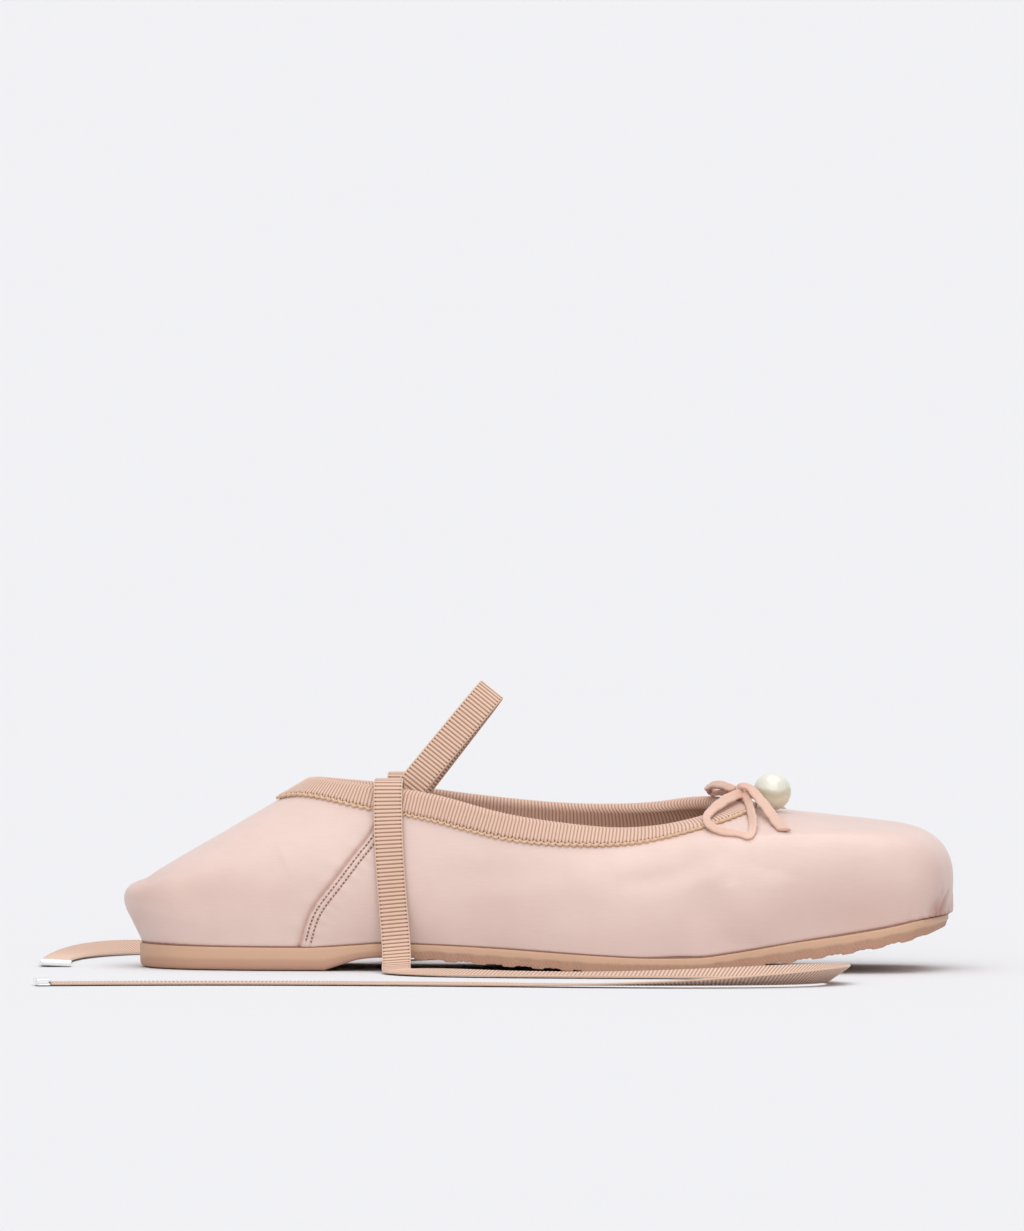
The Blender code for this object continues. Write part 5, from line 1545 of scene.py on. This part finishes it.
def make_feather_line():
    """A thin dark strip between satin and rubber: painted shade of the narrow gap there."""
    stations = np.linspace(0, WHOLE, 420, endpoint=False)
    inner, out = outline(stations, ledge(stations, -1.2))
    outer, _ = outline(stations, ledge(stations, 0.30))
    z = seat(outer[:, 0])
    ring = np.stack(
        [
            np.concatenate([outer, (z + 0.02)[:, None]], axis=1),
            np.concatenate([outer + out * 0.05, (z + GAP * 0.6)[:, None]], axis=1),
            np.concatenate([outer - out * 0.1, (z + GAP + 0.12)[:, None]], axis=1),
            np.concatenate([inner, (z + GAP + 0.1)[:, None]], axis=1),
            np.concatenate([inner, (z + 0.02)[:, None]], axis=1),
        ],
        axis=1,
    )
    return grid_piece(
        "feather_line", ring, np.arange(421) * 1.0, np.arange(6) * 1.0, [SHADOW_LINE], closed_u=True, closed_v=True
    )


# ------------------------------------------------------------------ floor and light
BACKDROP = (0.887, 0.887, 0.905)


def make_stage():
    size = 150.0
    points = np.array([[(-size, -size, -0.00025), (-size, size, -0.00025)], [(size, -size, -0.00025), (size, size, -0.00025)]]) / MM
    m = Nodes("pale_floor", Roughness=0.9, Specular_IOR_Level=0.0)
    at = m.place()
    m.to("Base Color", m.mix(m.noise(at, 3.0), FLOOR_TONE, tuple(c * 0.995 for c in FLOOR_TONE)))
    floor = grid_piece("floor", points, [0, 1], [0, 1], [m.material])


# Soft lamps: what each adds on the floor (the sky alone gives BACKDROP), where it stands, and how broad it is.
Lamp = namedtuple("Lamp", "name toward share angle")
LAMPS = [
    Lamp("front_box", (0.08, -0.80, 0.60), 0.18, 60.0),
    Lamp("top_box", (0.10, -0.10, 1.0), 0.30, 60.0),
]
SIDE_WALLS = 0.52  # the studio's walls to the left and right are this much darker than its front, back and ceiling
SIDE_FROM, SIDE_TO = 0.30, 0.95


def sky_share():
    """What the sky gives a level floor, as a share of an even sky."""
    t = (np.arange(400) + 0.5) / 400
    up, turn = np.meshgrid(np.sqrt(t), 2 * math.pi * t)
    side = np.abs(np.sqrt(1 - up**2) * np.cos(turn))
    return float(1 - (1 - SIDE_WALLS) * ease(SIDE_FROM, SIDE_TO, side).mean())


FLOOR_TONE = tuple(c / (0.887 * sky_share() + sum(lamp.share for lamp in LAMPS)) for c in BACKDROP)


def make_light():
    world = bpy.data.worlds.new("studio")
    bpy.context.scene.world = world
    world.use_nodes = True
    tree = world.node_tree
    glow = tree.nodes["Background"]
    toward = tree.nodes.new("ShaderNodeTexCoord")
    parts = tree.nodes.new("ShaderNodeSeparateXYZ")
    tree.links.new(toward.outputs["Generated"], parts.inputs[0])
    aside = tree.nodes.new("ShaderNodeMath")
    aside.operation = "ABSOLUTE"
    tree.links.new(parts.outputs[0], aside.inputs[0])
    wall = tree.nodes.new("ShaderNodeMapRange")
    wall.interpolation_type = "SMOOTHSTEP"
    wall.inputs["From Min"].default_value, wall.inputs["From Max"].default_value = SIDE_FROM, SIDE_TO
    tree.links.new(aside.outputs[0], wall.inputs["Value"])
    tone = tree.nodes.new("ShaderNodeMix")
    tone.data_type = "RGBA"
    tree.links.new(wall.outputs[0], tone.inputs[0])
    tone.inputs[6].default_value = (*BACKDROP, 1.0)
    tone.inputs[7].default_value = (*(SIDE_WALLS * c for c in BACKDROP), 1.0)
    # The backdrop itself is even: the darker walls light the shoe and are not seen.
    seen = tree.nodes.new("ShaderNodeLightPath")
    plain = tree.nodes.new("ShaderNodeMix")
    plain.data_type = "RGBA"
    tree.links.new(seen.outputs["Is Camera Ray"], plain.inputs[0])
    tree.links.new(tone.outputs[2], plain.inputs[6])
    plain.inputs[7].default_value = (*BACKDROP, 1.0)
    tree.links.new(plain.outputs[2], glow.inputs["Color"])
    glow.inputs["Strength"].default_value = 1.0
    for lamp in LAMPS:
        data = bpy.data.lights.new(lamp.name, "SUN")
        toward = Vector(lamp.toward).normalized()
        data.energy = lamp.share * math.pi / toward.z
        data.angle = math.radians(lamp.angle)
        made = bpy.data.objects.new(lamp.name, data)
        made.rotation_mode = "QUATERNION"
        made.rotation_quaternion = toward.to_track_quat("Z", "Y")
        bpy.context.scene.collection.objects.link(made)
    bpy.context.scene.view_settings.view_transform = "Standard"
    bpy.context.scene.view_settings.look = "None"


# ------------------------------------------------------------------ everything together
def settle(piece, slot, *nodes):
    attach(piece, "root")
    if nodes:
        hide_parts(*nodes)


def main():
    make_camera()
    for name, rows, node, tip_node in (
        ("tie_ribbon_lateral", TIE_LATERAL, "tie_lateral", "tie_tip_lateral"),
        ("tie_ribbon_medial", TIE_MEDIAL, "tie_medial", "tie_tip_medial"),
    ):
        tie, path, run, wide = make_tie(name, rows)
        tip = make_tip(name.replace("ribbon", "end"), path, run, wide)
        settle(tie, "grosgrain", node)
        settle(tip, "metal", tip_node)

    upper, tree, seams = make_upper()
    settle(upper, "satin", "upper")
    for piece, slot in zip(make_stitches(tree, seams), ("satin", "grosgrain")):
        settle(piece, slot)
    settle(make_binding(), "grosgrain", "collar_binding")
    settle(make_strap(), "grosgrain", "instep_strap")
    for piece, node in make_bow(tree):
        settle(piece, "bow_cord", node)
    pearl, cup = make_pearl(tree)
    settle(pearl, "pearl", "pearl")
    settle(cup, "metal")
    settle(make_outsole(), "rubber", "outsole")
    settle(make_insole(), "insole", "insole")
    settle(make_feather_line(), "rubber")

    make_stage()
    make_light()


main()
